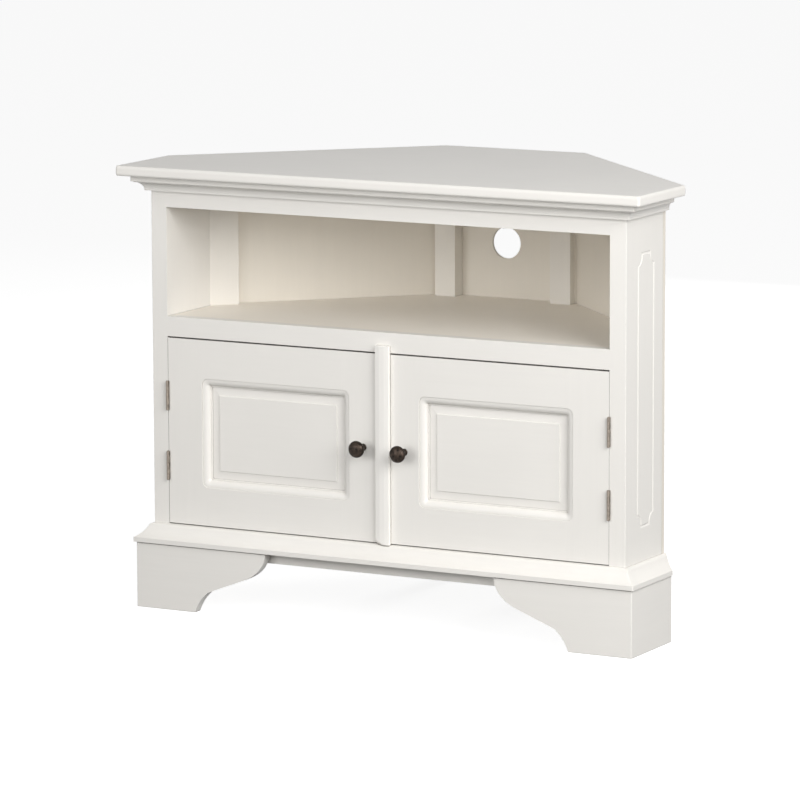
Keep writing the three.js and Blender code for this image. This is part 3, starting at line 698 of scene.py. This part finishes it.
def moulding(name, profile, rear):
    """A moulding round the front and both sides, mitred at the corners.

    Its profile has the reach from the frame, and the height.
    """

    def station(side, share):
        return mirrored([(*corner_point(reach, share), z) for reach, z in profile], side)

    left = [station(-1, share) for share in fan(MITRE_SHARE, 0)]
    right = [station(1, share) for share in fan(0, MITRE_SHARE)]
    piece = loft(f"{name}_front_painted", left + right)
    place(piece, "cabinet", PAINTS[X], OUTSIDE_SLOT, f"{name}_front")
    back_end = [(HALF + reach, rear - HALF - reach, z) for reach, z in profile]
    for side, label in ((-1, "left"), (1, "right")):
        stations = [station(side, share) for share in fan(MITRE_SHARE, 1)]
        piece = loft(f"{name}_{label}_painted", stations + [mirrored(back_end, side)])
        place(piece, "cabinet", PAINTS[Y], OUTSIDE_SLOT, f"{name}_{label}")


def cornice():
    bottom, top = low("cornice_front", Z), high("cornice_front", Z)
    reach = FRONT - low("cornice_front", Y)
    rear = high("cornice_right", Y) + HALF
    cove_reach = reach - COVE_INSET
    fillet = top - FILLET_HEIGHT
    cove_top = fillet - COVE_QUIRK
    corners = [(0, top), (reach, top), (reach, fillet), (cove_reach, fillet), (cove_reach, cove_top)]
    radii = [0, FILLET_ARRIS, FILLET_ARRIS, 0, 0]
    outline = rounded(corners + [(0, bottom)], radii + [0])[:-1]
    cove = arc((cove_reach, bottom), (cove_reach - COVE_FOOT, cove_top - bottom), QUARTER, math.pi)[1:]
    moulding("cornice", outline + cove + [(0, bottom)], rear)


def base_moulding():
    bottom, top = low("base_moulding_front", Z), high("base_moulding_front", Z)
    reach = FRONT - low("base_moulding_front", Y)
    rear = high("base_moulding_right", Y) + HALF
    edge = (reach, bottom + CAP_FILLET)
    turn = (OGEE_TURN[0], top - OGEE_TURN[1])
    end = (OGEE_END, top)
    hollow = bend(edge, (OGEE_HOLLOW[0], top - OGEE_HOLLOW[1]), turn)
    crown = bend(turn, (OGEE_ROUND[0], top - OGEE_ROUND[1]), end)
    foot = rounded([(0, bottom), (reach, bottom), edge, hollow[0]], [0, FINE_ARRIS, FINE_ARRIS, 0])
    moulding("base_moulding", foot[:-1] + hollow + crown + [(0, top)], rear)


def front_foot_outline(outer, top):
    """Ogee bracket in x and z. outer is where its corner is."""
    full = high("foot_front_right", X)
    shoulder = (low("foot_front_right", X), top)
    belly = (full - FOOT_BELLY[0], FOOT_BELLY[1])
    notch = (full - FOOT_NOTCH[0], FOOT_NOTCH[1])
    heel = (notch[0] + FOOT_STEP, notch[1] - FOOT_STEP)
    round_run = bend(shoulder, (shoulder[0] + FOOT_PULL[0], FOOT_PULL[1]), belly)
    toe = bend(heel, (heel[0] + FOOT_HEEL[0], FOOT_HEEL[1]), (full - FOOT_TOE, 0))
    return [shoulder, *round_run, notch, heel, *toe, (outer, 0), (outer, top)]


def feet():
    reach = FRONT - low("foot_front_right", Y)
    set_off = FRONT - high("foot_front_right", Y)
    top = high("foot_side_right", Z) - FOOT_REVEAL
    rear = high("foot_side_right", Y) + low("foot_side_right", X)
    mitre = [corner_point(reach, share) for share in fan(0, MITRE_SHARE)]
    turn = [corner_point(reach, share) for share in fan(MITRE_SHARE, 1)]
    plan = turn + [
        (HALF + reach, rear - HALF - reach),
        (HALF + set_off, rear - HALF - set_off),
        (HALF + set_off, FRONT - set_off),
    ]
    places = mitre + [(HALF + set_off, FRONT - set_off)]
    for side, label in ((-1, "left"), (1, "right")):
        rings = [
            mirrored([(x, depth, z) for x, z in front_foot_outline(outer, top)], side)
            for outer, depth in places
        ]
        piece = loft(f"foot_front_{label}_painted", rings)
        piece = softened_piece(piece, skip=lambda middle: abs(middle.x) > HALF)
        place(piece, "cabinet", PAINTS[X], OUTSIDE_SLOT, f"foot_front_{label}")
        piece = loft(f"foot_side_{label}_painted", upright(plan, 0, top, side))
        piece = softened_piece(piece, skip=lambda middle: middle.y < FRONT)
        place(piece, "cabinet", PAINTS[Y], OUTSIDE_SLOT, f"foot_side_{label}")


def carving_outline(inset):
    """A long frame with hollow corners and a short neck at each end, drawn in by the inset."""
    bottom = high("base_moulding_front", Z) + CARVING_LOWER_MARGIN
    top = low("cornice_front", Z) - CARVING_UPPER_MARGIN
    half = CARVING_WIDTH / 2
    end = (top - bottom) / 2
    radius = CARVING_SCOOP + inset
    centre = (half, end - CARVING_GROOVE - CARVING_NECK)
    scoop = arc(centre, (radius, radius), math.pi, math.pi + math.acos(inset / radius), CARVING_STEPS)
    quarter = [(half - radius, end - inset), *scoop]
    right = quarter + [(a, -b) for a, b in reversed(quarter)]
    middle = FRONT + CARVING_MARGIN + half
    height = (top + bottom) / 2
    return [(middle + a, height + b) for a, b in right + [(-a, -b) for a, b in right]]


def carving_cutter(side):
    """Closed groove of shallow hollow section, a little proud of the face that it cuts."""
    section = [(0, -OVERRUN), (CARVING_GROOVE, -OVERRUN)]
    for step in range(CARVING_STEPS + 1):
        angle = math.pi * step / CARVING_STEPS
        inset = CARVING_GROOVE / 2 * (1 + math.cos(angle))
        section.append((inset, CARVING_DEPTH * math.sin(angle) ** 2))
    rings = [
        [(side * (HALF - depth), y, z) for y, z in carving_outline(inset)] for inset, depth in section
    ]
    return loft("carving_cutter", rings, closed=True)


def side_panels():
    outline = [
        (INNER, FRONT),
        (HALF, FRONT),
        (HALF, REAR_INNER - HALF),
        (INNER, REAR_INNER - INNER),
    ]
    plan = rounded(outline, [0, SIDE_ARRIS, SEAM_ARRIS, 0])
    for side, label in ((-1, "left"), (1, "right")):
        piece = loft(f"side_panel_{label}_painted", upright(plan, CARCASS_LOW, CARCASS_TOP, side))
        cut(piece, carving_cutter(side), *hinge_gains(side, "frame_leaf", INNER, 1))
        place(piece, "cabinet", PAINTS[Z], OUTSIDE_SLOT, f"side_panel_{label}")


def hinge_gains(side, leaf, face, inward):
    """Cutters for the shallow recesses that take the leaves of a side's hinges."""
    outer = side * (face - inward * OVERRUN)
    floor_of_gain = side * (face + inward * (LEAF_THICKNESS + GAIN_GAP))
    left, right = sorted((outer, floor_of_gain))
    gains = []
    for level in ("lower", "upper"):
        lowest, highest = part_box(f"hinge_right_{level}_{leaf}")
        gain_low = (left, FRONT - OVERRUN, lowest.z - GAIN_GAP)
        gain_high = (right, highest.y + GAIN_GAP, highest.z + GAIN_GAP)
        gains.append(from_bmesh("gain", box_mesh((gain_low, gain_high))))
    return gains


def front_rails():
    """Rails of the front frame, painted over at their ends."""
    for node in ("frieze_rail", "shelf_rail", "bottom_rail"):
        lowest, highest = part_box(node)
        bm = box_mesh(((-INNER, lowest.y, lowest.z), (INNER, highest.y, highest.z)))
        piece = softened(
            f"{node}_painted",
            bm,
            FINE_ARRIS,
            lambda middle: abs(middle.x) > INNER - OVERRUN or middle.y > FRONT + OVERRUN,
        )
        place(piece, "cabinet", PAINTS[X], OUTSIDE_SLOT, node)


def paint_outside(piece):
    """Gives the faces of a rear panel that look outward the outside paint."""
    piece.data.materials.append(PAINTS[Z])
    for face in piece.data.polygons:
        x, y, _ = face.center
        if max(abs(x) + y - REAR_OUTER, y - FLAT_BACK) > -WELD:
            face.material_index = 1


def boards():
    """Shelf, floor, posts, glue blocks and slanted rear panels."""
    for node in ("media_shelf", "bottom_board"):
        piece = softened_node(node, f"{node}_painted", FINE_ARRIS)
        place(piece, "cabinet", SHELF_PAINTED_BOUNCE, INSIDE_SLOT, node)
    piece = softened_node("middle_post", "middle_post_painted", FINE_ARRIS)
    place(piece, "cabinet", PAINTS[Z], OUTSIDE_SLOT, "middle_post")
    for label in ("left", "right"):
        for kind in ("rear_post_side", "rear_post_back", "glue_block"):
            node = f"{kind}_{label}"
            piece = softened_node(node, f"{node}_painted", POST_ARRIS, coat=COAT)
            place(piece, "cabinet", POST_PAINTED_BOUNCE, INSIDE_SLOT, node)
        node = f"back_panel_{label}"
        piece = softened_node(node, f"{node}_painted", FINE_ARRIS)
        place(piece, "cabinet", BACK_PAINTED_BOUNCE, INSIDE_SLOT, node)
        paint_outside(piece)


def joint_fillers():
    """Painted filler in the sharp joint between each back post and its slanted panel."""
    x = high("rear_post_back_right", X)
    y = REAR_INNER + COAT - x
    plan = [(x - COAT, y - FILLER), (x + FILLER / ROOT2, y - FILLER / ROOT2), (x, y)]
    for side, label in ((-1, "left"), (1, "right")):
        piece = loft(f"joint_filler_{label}", upright(plan, CARCASS_LOW, CARCASS_TOP, side))
        place(piece, "cabinet", BACK_PAINTED_BOUNCE, INSIDE_SLOT)


def back_panel():
    """Flat rear panel with the hole for the leads."""
    lowest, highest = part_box("back_panel_centre")
    inner = REAR_INNER - lowest.y
    plan = [(-inner, lowest.y), (inner, lowest.y), (highest.x, highest.y), (-highest.x, highest.y)]
    panel = loft("back_panel_centre_painted", upright(plan, lowest.z, highest.z))
    radius = HOLE_DIAMETER / 2
    ring = arc(HOLE_PLACE, (radius, radius), 0, 2 * math.pi, HOLE_SIDES)[:-1]
    ends = (lowest.y - OVERRUN, highest.y + OVERRUN)
    cut(panel, loft("hole", [[(x, y, z) for x, z in ring] for y in ends]))
    panel = softened_piece(panel, FINE_ARRIS)
    place(panel, "cabinet", BACK_PAINTED_BOUNCE, INSIDE_SLOT, "back_panel_centre")
    paint_outside(panel)


def bead():
    """Rounded bead with a flat on its crown, chipped at its lower left end."""
    lowest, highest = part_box("middle_bead")
    half = highest.x + COAT
    rise = BEAD_CROWN - BEAD_EDGE

    def section(edge, crown, z):
        outline = [
            (-half, FRONT),
            (half, FRONT),
            (half, FRONT - edge),
            (BEAD_FLAT / 2, FRONT - crown),
            (-BEAD_FLAT / 2, FRONT - crown),
            (-half, FRONT - edge),
        ]
        radii = [0, 0, FINE_ARRIS, BEAD_HIP, BEAD_HIP, FINE_ARRIS]
        return [(x, y, z) for x, y in rounded(outline, radii, CORNER_STEPS)]

    whole = loft(
        "middle_bead_whole",
        [
            section(BEAD_EDGE, BEAD_CROWN, lowest.z),
            section(BEAD_EDGE, BEAD_CROWN, highest.z - rise),
            section(BEAD_EDGE - rise / 2, BEAD_EDGE, highest.z),
        ],
    )
    low_corner = Vector((BEAD_CHIP[0], FRONT - BEAD_CROWN, lowest.z))
    side_corner = Vector((-half, FRONT - BEAD_EDGE, lowest.z + BEAD_CHIP[1]))
    back_corner = Vector((-half, FRONT, lowest.z))
    away = (side_corner - low_corner).cross(back_corner - low_corner)
    if away.z > 0:
        away.negate()
    piece = kept_part(whole, "middle_bead_painted", [(low_corner, away)])
    bpy.data.objects.remove(whole)
    place(piece, "cabinet", BEAD, OUTSIDE_SLOT, "middle_bead")


# Doors


def rounded_rectangle(bounds, grow, radius, y):
    """Ring of points on a rectangle of left, right, bottom and top, grown outward."""
    left, right, bottom, top = bounds
    outline = [
        (right + grow, top + grow),
        (left - grow, top + grow),
        (left - grow, bottom - grow),
        (right + grow, bottom - grow),
    ]
    return [(x, y, z) for x, z in rounded(outline, radius, CORNER_STEPS)]


def sticking_profile():
    """Inset and depth of the moulded inner edge: an ovolo between two small steps."""
    foot = STICKING_DEPTH - STICKING_LIP
    radii = (STICKING_WIDTH - STICKING_EDGE - STICKING_FOOT, foot - STICKING_QUIRK)
    ovolo = arc((STICKING_EDGE, foot), radii, -QUARTER, 0, STICKING_STEPS)
    start = [(-FINE_ARRIS, 0), (0, FINE_ARRIS), (0, STICKING_QUIRK)]
    return start + ovolo + [(STICKING_WIDTH - FINE_ARRIS, foot), (STICKING_WIDTH, foot + FINE_ARRIS)]


def door_frame_rings(outer, sight):
    """Section of a door's frame: its outer edge, its front, its moulded edge and its panel groove."""
    back = high("door_right_hinge_stile", Y)
    leaned = (outer[0] + MEETING_LEAN, *outer[1:])
    rings = [
        rounded_rectangle(leaned, -DOOR_ARRIS, DOOR_CORNER, back),
        rounded_rectangle(leaned, 0, DOOR_CORNER, back - DOOR_ARRIS),
    ]
    edge = arc((DOOR_ARRIS, DOOR_ARRIS), (DOOR_ARRIS, DOOR_ARRIS), math.pi, 3 * QUARTER, EDGE_STEPS)
    for inset, depth in edge:
        rings.append(rounded_rectangle(outer, -inset, DOOR_CORNER, FRONT + depth))
    outer_radius, inner_radius = STICKING_CORNERS
    for inset, depth in sticking_profile():
        share = inset / STICKING_WIDTH
        radius = outer_radius * (1 - share) + inner_radius * share
        rings.append(rounded_rectangle(sight, STICKING_WIDTH - inset, radius, FRONT + depth))
    for grow, depth in (
        (0, STICKING_DEPTH),
        (GROOVE_DEPTH, STICKING_DEPTH),
        (GROOVE_DEPTH, STICKING_DEPTH + GROOVE_WIDTH),
        (0, STICKING_DEPTH + GROOVE_WIDTH),
    ):
        rings.append(rounded_rectangle(sight, grow, inner_radius, FRONT + depth))
    rings.append(rounded_rectangle(sight, 0, inner_radius, back))
    return rings


def kept_part(piece, name, planes):
    """A copy of the piece, cut off by planes, each of a point and the direction that is cut away."""
    bm = bmesh.new()
    bm.from_mesh(piece.data)
    for point, away in planes:
        everything = bm.verts[:] + bm.edges[:] + bm.faces[:]
        bmesh.ops.bisect_plane(bm, geom=everything, plane_co=point, plane_no=away, clear_outer=True)
        open_edges = [edge for edge in bm.edges if edge.is_boundary]
        bmesh.ops.edgeloop_fill(bm, edges=open_edges)
    return from_bmesh(name, bm)


def door(side, label):
    body = f"door_{label}"
    hinge_low, hinge_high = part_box("door_right_hinge_stile")
    meeting_low, meeting_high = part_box("door_right_meeting_stile")
    sight = (
        meeting_high.x,
        hinge_low.x,
        high("door_right_bottom_rail", Z),
        low("door_right_top_rail", Z),
    )
    outer = (meeting_low.x, hinge_high.x, hinge_low.z, hinge_high.z)
    rings = [mirrored(ring, side) for ring in door_frame_rings(outer, sight)]
    whole = loft("door_frame", rings, closed=True)
    inner_cut = Vector((side * (sight[0] + JOINT_STUB), 0, 0))
    outer_cut = Vector((side * (sight[1] - JOINT_STUB), 0, 0))
    middle = Vector((0, 0, (sight[2] + sight[3]) / 2))
    away = Vector((side, 0, 0))
    up = Vector((0, 0, 1))
    parts = {
        "meeting_stile": [(inner_cut, away)],
        "hinge_stile": [(outer_cut, -away)],
        "top_rail": [(inner_cut, -away), (outer_cut, away), (middle, -up)],
        "bottom_rail": [(inner_cut, -away), (outer_cut, away), (middle, up)],
    }
    for part, planes in parts.items():
        piece = kept_part(whole, f"{body}_{part}_painted", planes)
        if part == "hinge_stile":
            cut(piece, *hinge_gains(side, "door_leaf", outer[1], -1))
        grain = X if part.endswith("rail") else Z
        place(piece, body, PAINTS[grain], OUTSIDE_SLOT, f"{body}_{part}")
    bpy.data.objects.remove(whole)
    panel = loft(f"{body}_raised_panel_painted", [mirrored(ring, side) for ring in panel_rings(sight)])
    place(panel, body, PAINTS[X], OUTSIDE_SLOT, f"{body}_raised_panel")


def panel_rings(sight):
    """Raised panel: flat margin in the groove, bevel, step and field."""
    lowest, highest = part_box("door_right_raised_panel")
    reach = sight[0] - lowest.x
    margin = FRONT + STICKING_DEPTH + PANEL_GAP
    bevel_top = margin - BEVEL_RISE
    rings = [
        rounded_rectangle(sight, reach, PANEL_CORNER, highest.y),
        rounded_rectangle(sight, reach, PANEL_CORNER, margin),
        rounded_rectangle(sight, 0, PANEL_CORNER, margin),
        rounded_rectangle(sight, -BEVEL_WIDTH, PANEL_CORNER, bevel_top),
    ]
    field_edge = arc((FIELD_ROUND, 0), (FIELD_ROUND, FIELD_STEP), math.pi, QUARTER, EDGE_STEPS)
    for inset, rise in field_edge[1:]:
        radius = PANEL_CORNER + inset
        rings.append(rounded_rectangle(sight, -BEVEL_WIDTH - inset, radius, bevel_top - rise))
    return rings


# Metalwork


def knobs():
    length = high("knob_right", Y) - low("knob_right", Y)
    radius = (high("knob_right", X) - low("knob_right", X)) / 2
    widest = KNOB_HEAD_START + (length - KNOB_HEAD_START) / 2
    foot = (KNOB_FLANGE[0], 0)
    rim = (KNOB_FLANGE[0], KNOB_FLANGE[1])
    flange = rounded([(0, 0), foot, rim, (KNOB_NECK, KNOB_FLANGE[1])], [0, FINE_ARRIS, FINE_ARRIS, 0])
    neck = bend(
        (KNOB_FLANGE[0] - FINE_ARRIS, KNOB_FLANGE[1]),
        (KNOB_NECK, KNOB_FLANGE[1]),
        (KNOB_NECK, KNOB_HEAD_START - KNOB_FLANGE[1]),
    )
    head = arc((0, widest), (radius, length - widest), KNOB_HEAD_TURN, QUARTER, 2 * CURVE_STEPS)
    profile = flange[:-1] + neck + head[:-1] + [(0, length)]
    for label in ("left", "right"):
        lowest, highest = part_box(f"knob_{label}")
        piece = lathe(f"knob_{label}_turned", profile)
        middle = (lowest + highest) / 2
        stand_out(piece, middle.x, highest.y, middle.z)
        place(piece, f"door_{label}", METALS["knob_bronze"], "knob_bronze", f"knob_{label}")


def screws():
    """Slotted screws that hold the knobs, with their heads inside the doors."""
    for label in ("left", "right"):
        lowest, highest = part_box(f"knob_screw_{label}")
        middle = (lowest + highest) / 2
        length = highest.y - lowest.y
        head_radius, head_height = SCREW_HEAD
        seat = length - head_height
        profile = [(0, 0), (SCREW_SHANK, 0), (SCREW_SHANK, seat), (head_radius, seat)]
        profile += arc((0, length - head_height / 2), (head_radius, head_height / 2), 0, QUARTER)[:-1]
        piece = lathe(f"knob_screw_{label}_slotted", profile + [(0, length)], ROUND_SIDES // 2)
        half_slot = SLOT_WIDTH / 2
        slot_low = (-half_slot, -head_radius - OVERRUN, length - SLOT_DEPTH)
        slot_high = (half_slot, head_radius + OVERRUN, length + OVERRUN)
        cut(piece, from_bmesh("slot", box_mesh((slot_low, slot_high))))
        piece.data.transform(Matrix.Scale(-1, 4, (0, 0, 1)))
        piece.data.flip_normals()
        stand_out(piece, middle.x, lowest.y, middle.z)
        place(piece, f"door_{label}", METALS["screw_steel"], "screw_steel", f"knob_screw_{label}")


def hinges():
    """Butt hinges: knuckles turn about the pin, the leaves lie between door and frame."""
    for label in ("left", "right"):
        bodies = {"frame_leaf": "cabinet", "pin": "cabinet", "door_leaf": f"door_{label}"}
        for level in ("lower", "upper"):
            for part, body in bodies.items():
                node = f"hinge_{label}_{level}_{part}"
                piece = softened_node(node, f"{node}_aged", METAL_ARRIS)
                place(piece, body, METALS["hinge_brass"], "hinge_brass", node)


def catches():
    """Magnetic catches: a plastic body with two steel pole plates, and a strike plate on the door."""
    for label in ("left", "right"):
        node = f"magnetic_catch_{label}"
        lowest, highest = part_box(node)
        body_low = Vector((lowest.x, lowest.y + CATCH_NOSE, lowest.z))
        piece = softened(f"{node}_body", box_mesh((body_low, highest)), ARRIS)
        place(piece, "cabinet", CATCH_PLASTIC, "catch_plastic", node)
        middle = (lowest + highest) / 2
        plates = []
        for offset in (-POLE_SPREAD / 2, POLE_SPREAD / 2):
            x = middle.x + offset
            plate_low = (x - POLE_THICKNESS / 2, lowest.y, middle.z - POLE_LENGTH / 2)
            plate_high = (x + POLE_THICKNESS / 2, lowest.y + POLE_DEPTH, middle.z + POLE_LENGTH / 2)
            plates.append((plate_low, plate_high))
        piece = softened(f"{node}_poles", box_mesh(*plates), METAL_ARRIS)
        place(piece, "cabinet", METALS["screw_steel"], "screw_steel")
        strike_plate(label)


def strike_plate(label):
    """Thin steel plate with rounded corners and a countersunk screw."""
    node = f"strike_plate_{label}"
    lowest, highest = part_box(node)
    bounds = (lowest.x, highest.x, lowest.z, highest.z)
    rings = [
        rounded_rectangle(bounds, 0, ARRIS, lowest.y),
        rounded_rectangle(bounds, 0, ARRIS, highest.y - METAL_ARRIS),
        rounded_rectangle(bounds, -METAL_ARRIS, ARRIS, highest.y),
    ]
    piece = loft(f"{node}_steel", rings)
    middle = (lowest + highest) / 2
    ends = (highest.y - PLATE_SCREW_DEPTH, highest.y + OVERRUN)
    section = [(PLATE_SCREW[0], ends[0]), (PLATE_SCREW[1], ends[0])]
    section += [(PLATE_SCREW[1], ends[1]), (PLATE_SCREW[0], ends[1])]
    groove = []
    for radius, y in section:
        circle = arc((middle.x, middle.z), (radius, radius), 0, 2 * math.pi, ROUND_SIDES)[:-1]
        groove.append([(x, y, z) for x, z in circle])
    slot_low = (middle.x - PLATE_SCREW[0], ends[0], middle.z - SLOT_WIDTH / 2)
    slot_high = (middle.x + PLATE_SCREW[0], ends[1], middle.z + SLOT_WIDTH / 2)
    cut(piece, loft("groove", groove, closed=True), from_bmesh("slot", box_mesh((slot_low, slot_high))))
    place(piece, f"door_{label}", METALS["screw_steel"], "screw_steel", node)


# Surroundings


def camera():
    data = bpy.data.cameras.new("camera")
    data.sensor_width = SENSOR_WIDTH
    data.lens = FOCAL_LENGTH
    data.clip_end = CLIP_END
    camera_object = link("camera", data)
    forward = -direction(CAMERA_AZIMUTH, CAMERA_ELEVATION)
    level = Vector((math.cos(CAMERA_AZIMUTH), math.sin(CAMERA_AZIMUTH), 0))
    upward = level.cross(forward)
    right = level * math.cos(CAMERA_ROLL) + upward * math.sin(CAMERA_ROLL)
    up = right.cross(forward)
    rotation = Matrix((right, up, -forward)).transposed()
    camera_object.matrix_world = (
        Matrix.Translation(CAMERA_TARGET - forward * CAMERA_DISTANCE) @ rotation.to_4x4()
    )
    bpy.context.scene.camera = camera_object


def direction(azimuth, elevation):
    """From the cabinet outward. Azimuth 0 points straight to the front, and it grows to the right."""
    return Vector(
        (
            math.sin(azimuth) * math.cos(elevation),
            -math.cos(azimuth) * math.cos(elevation),
            math.sin(elevation),
        )
    )


def lamp(name, azimuth, elevation, distance, size, power, mirrored_in_gloss=True):
    """A square soft box that faces the cabinet. Its angles are in degrees."""
    data = bpy.data.lights.new(name, "AREA")
    data.shape = "SQUARE"
    data.size = size
    data.energy = power
    lamp_object = link(name, data)
    target = Vector((0, 0, (CARCASS_LOW + CARCASS_TOP) / 2))
    back = direction(math.radians(azimuth), math.radians(elevation))
    lamp_object.visible_camera = False
    lamp_object.visible_glossy = mirrored_in_gloss
    lamp_object.location = target + back * distance
    lamp_object.rotation_euler = back.to_track_quat("Z", "Y").to_euler()


def seen_by_eye(nodes, links):
    """1 for rays that show a surface, to the camera or in a gloss or a glass."""
    path = nodes.new("ShaderNodeLightPath")
    seen = path.outputs["Is Camera Ray"]
    for kind in ("Is Glossy Ray", "Is Transmission Ray"):
        either = nodes.new("ShaderNodeMath")
        either.operation = "MAXIMUM"
        links.new(seen, either.inputs[0])
        links.new(path.outputs[kind], either.inputs[1])
        seen = either.outputs[0]
    return seen


def world():
    sky = bpy.data.worlds.new("studio")
    bpy.context.scene.world = sky
    sky.use_nodes = True
    nodes, links = sky.node_tree.nodes, sky.node_tree.links
    background = nodes["Background"]
    background.inputs["Color"].default_value = (1, 1, 1, 1)
    strength = nodes.new("ShaderNodeMapRange")
    strength.inputs["To Min"].default_value = SKY
    strength.inputs["To Max"].default_value = 1
    links.new(seen_by_eye(nodes, links), strength.inputs["Value"])
    links.new(strength.outputs["Result"], background.inputs["Strength"])


def floor():
    """White to the eye, and darker to the light that it throws back."""
    half = FLOOR_SIZE / 2
    corners = ((-half, -half), (half, -half), (half, half), (-half, half))
    bm = bmesh.new()
    bm.faces.new([bm.verts.new((x, y, 0)) for x, y in corners])
    ground = from_bmesh("floor", bm)
    material = bpy.data.materials.new("floor_white")
    material.use_nodes = True
    nodes, links = material.node_tree.nodes, material.node_tree.links
    nodes.remove(nodes["Principled BSDF"])
    unseen = nodes.new("ShaderNodeBsdfDiffuse")
    unseen.inputs["Color"].default_value = (FLOOR_TONE,) * 3 + (1,)
    shown = nodes.new("ShaderNodeBsdfDiffuse")
    shown.inputs["Color"].default_value = (FLOOR_SHOWN_TONE,) * 3 + (1,)
    glow = nodes.new("ShaderNodeEmission")
    glow.inputs["Strength"].default_value = FLOOR_GLOW
    both = nodes.new("ShaderNodeAddShader")
    links.new(shown.outputs[0], both.inputs[0])
    links.new(glow.outputs[0], both.inputs[1])
    mix = nodes.new("ShaderNodeMixShader")
    links.new(seen_by_eye(nodes, links), mix.inputs[0])
    links.new(unseen.outputs[0], mix.inputs[1])
    links.new(both.outputs[0], mix.inputs[2])
    links.new(mix.outputs[0], nodes["Material Output"].inputs["Surface"])
    ground.data.materials.append(material)


top_board()
cornice()
base_moulding()
feet()
side_panels()
front_rails()
boards()
joint_fillers()
back_panel()
bead()
door(-1, "left")
door(1, "right")
knobs()
screws()
hinges()
catches()
camera()
lamp("key_light", **KEY)
lamp("fill_light", **FILL)
lamp("front_light", **FRONT_LIGHT)
lamp("rear_light", **REAR_LIGHT, mirrored_in_gloss=False)
world()
floor()
bpy.context.scene.view_settings.view_transform = "Standard"
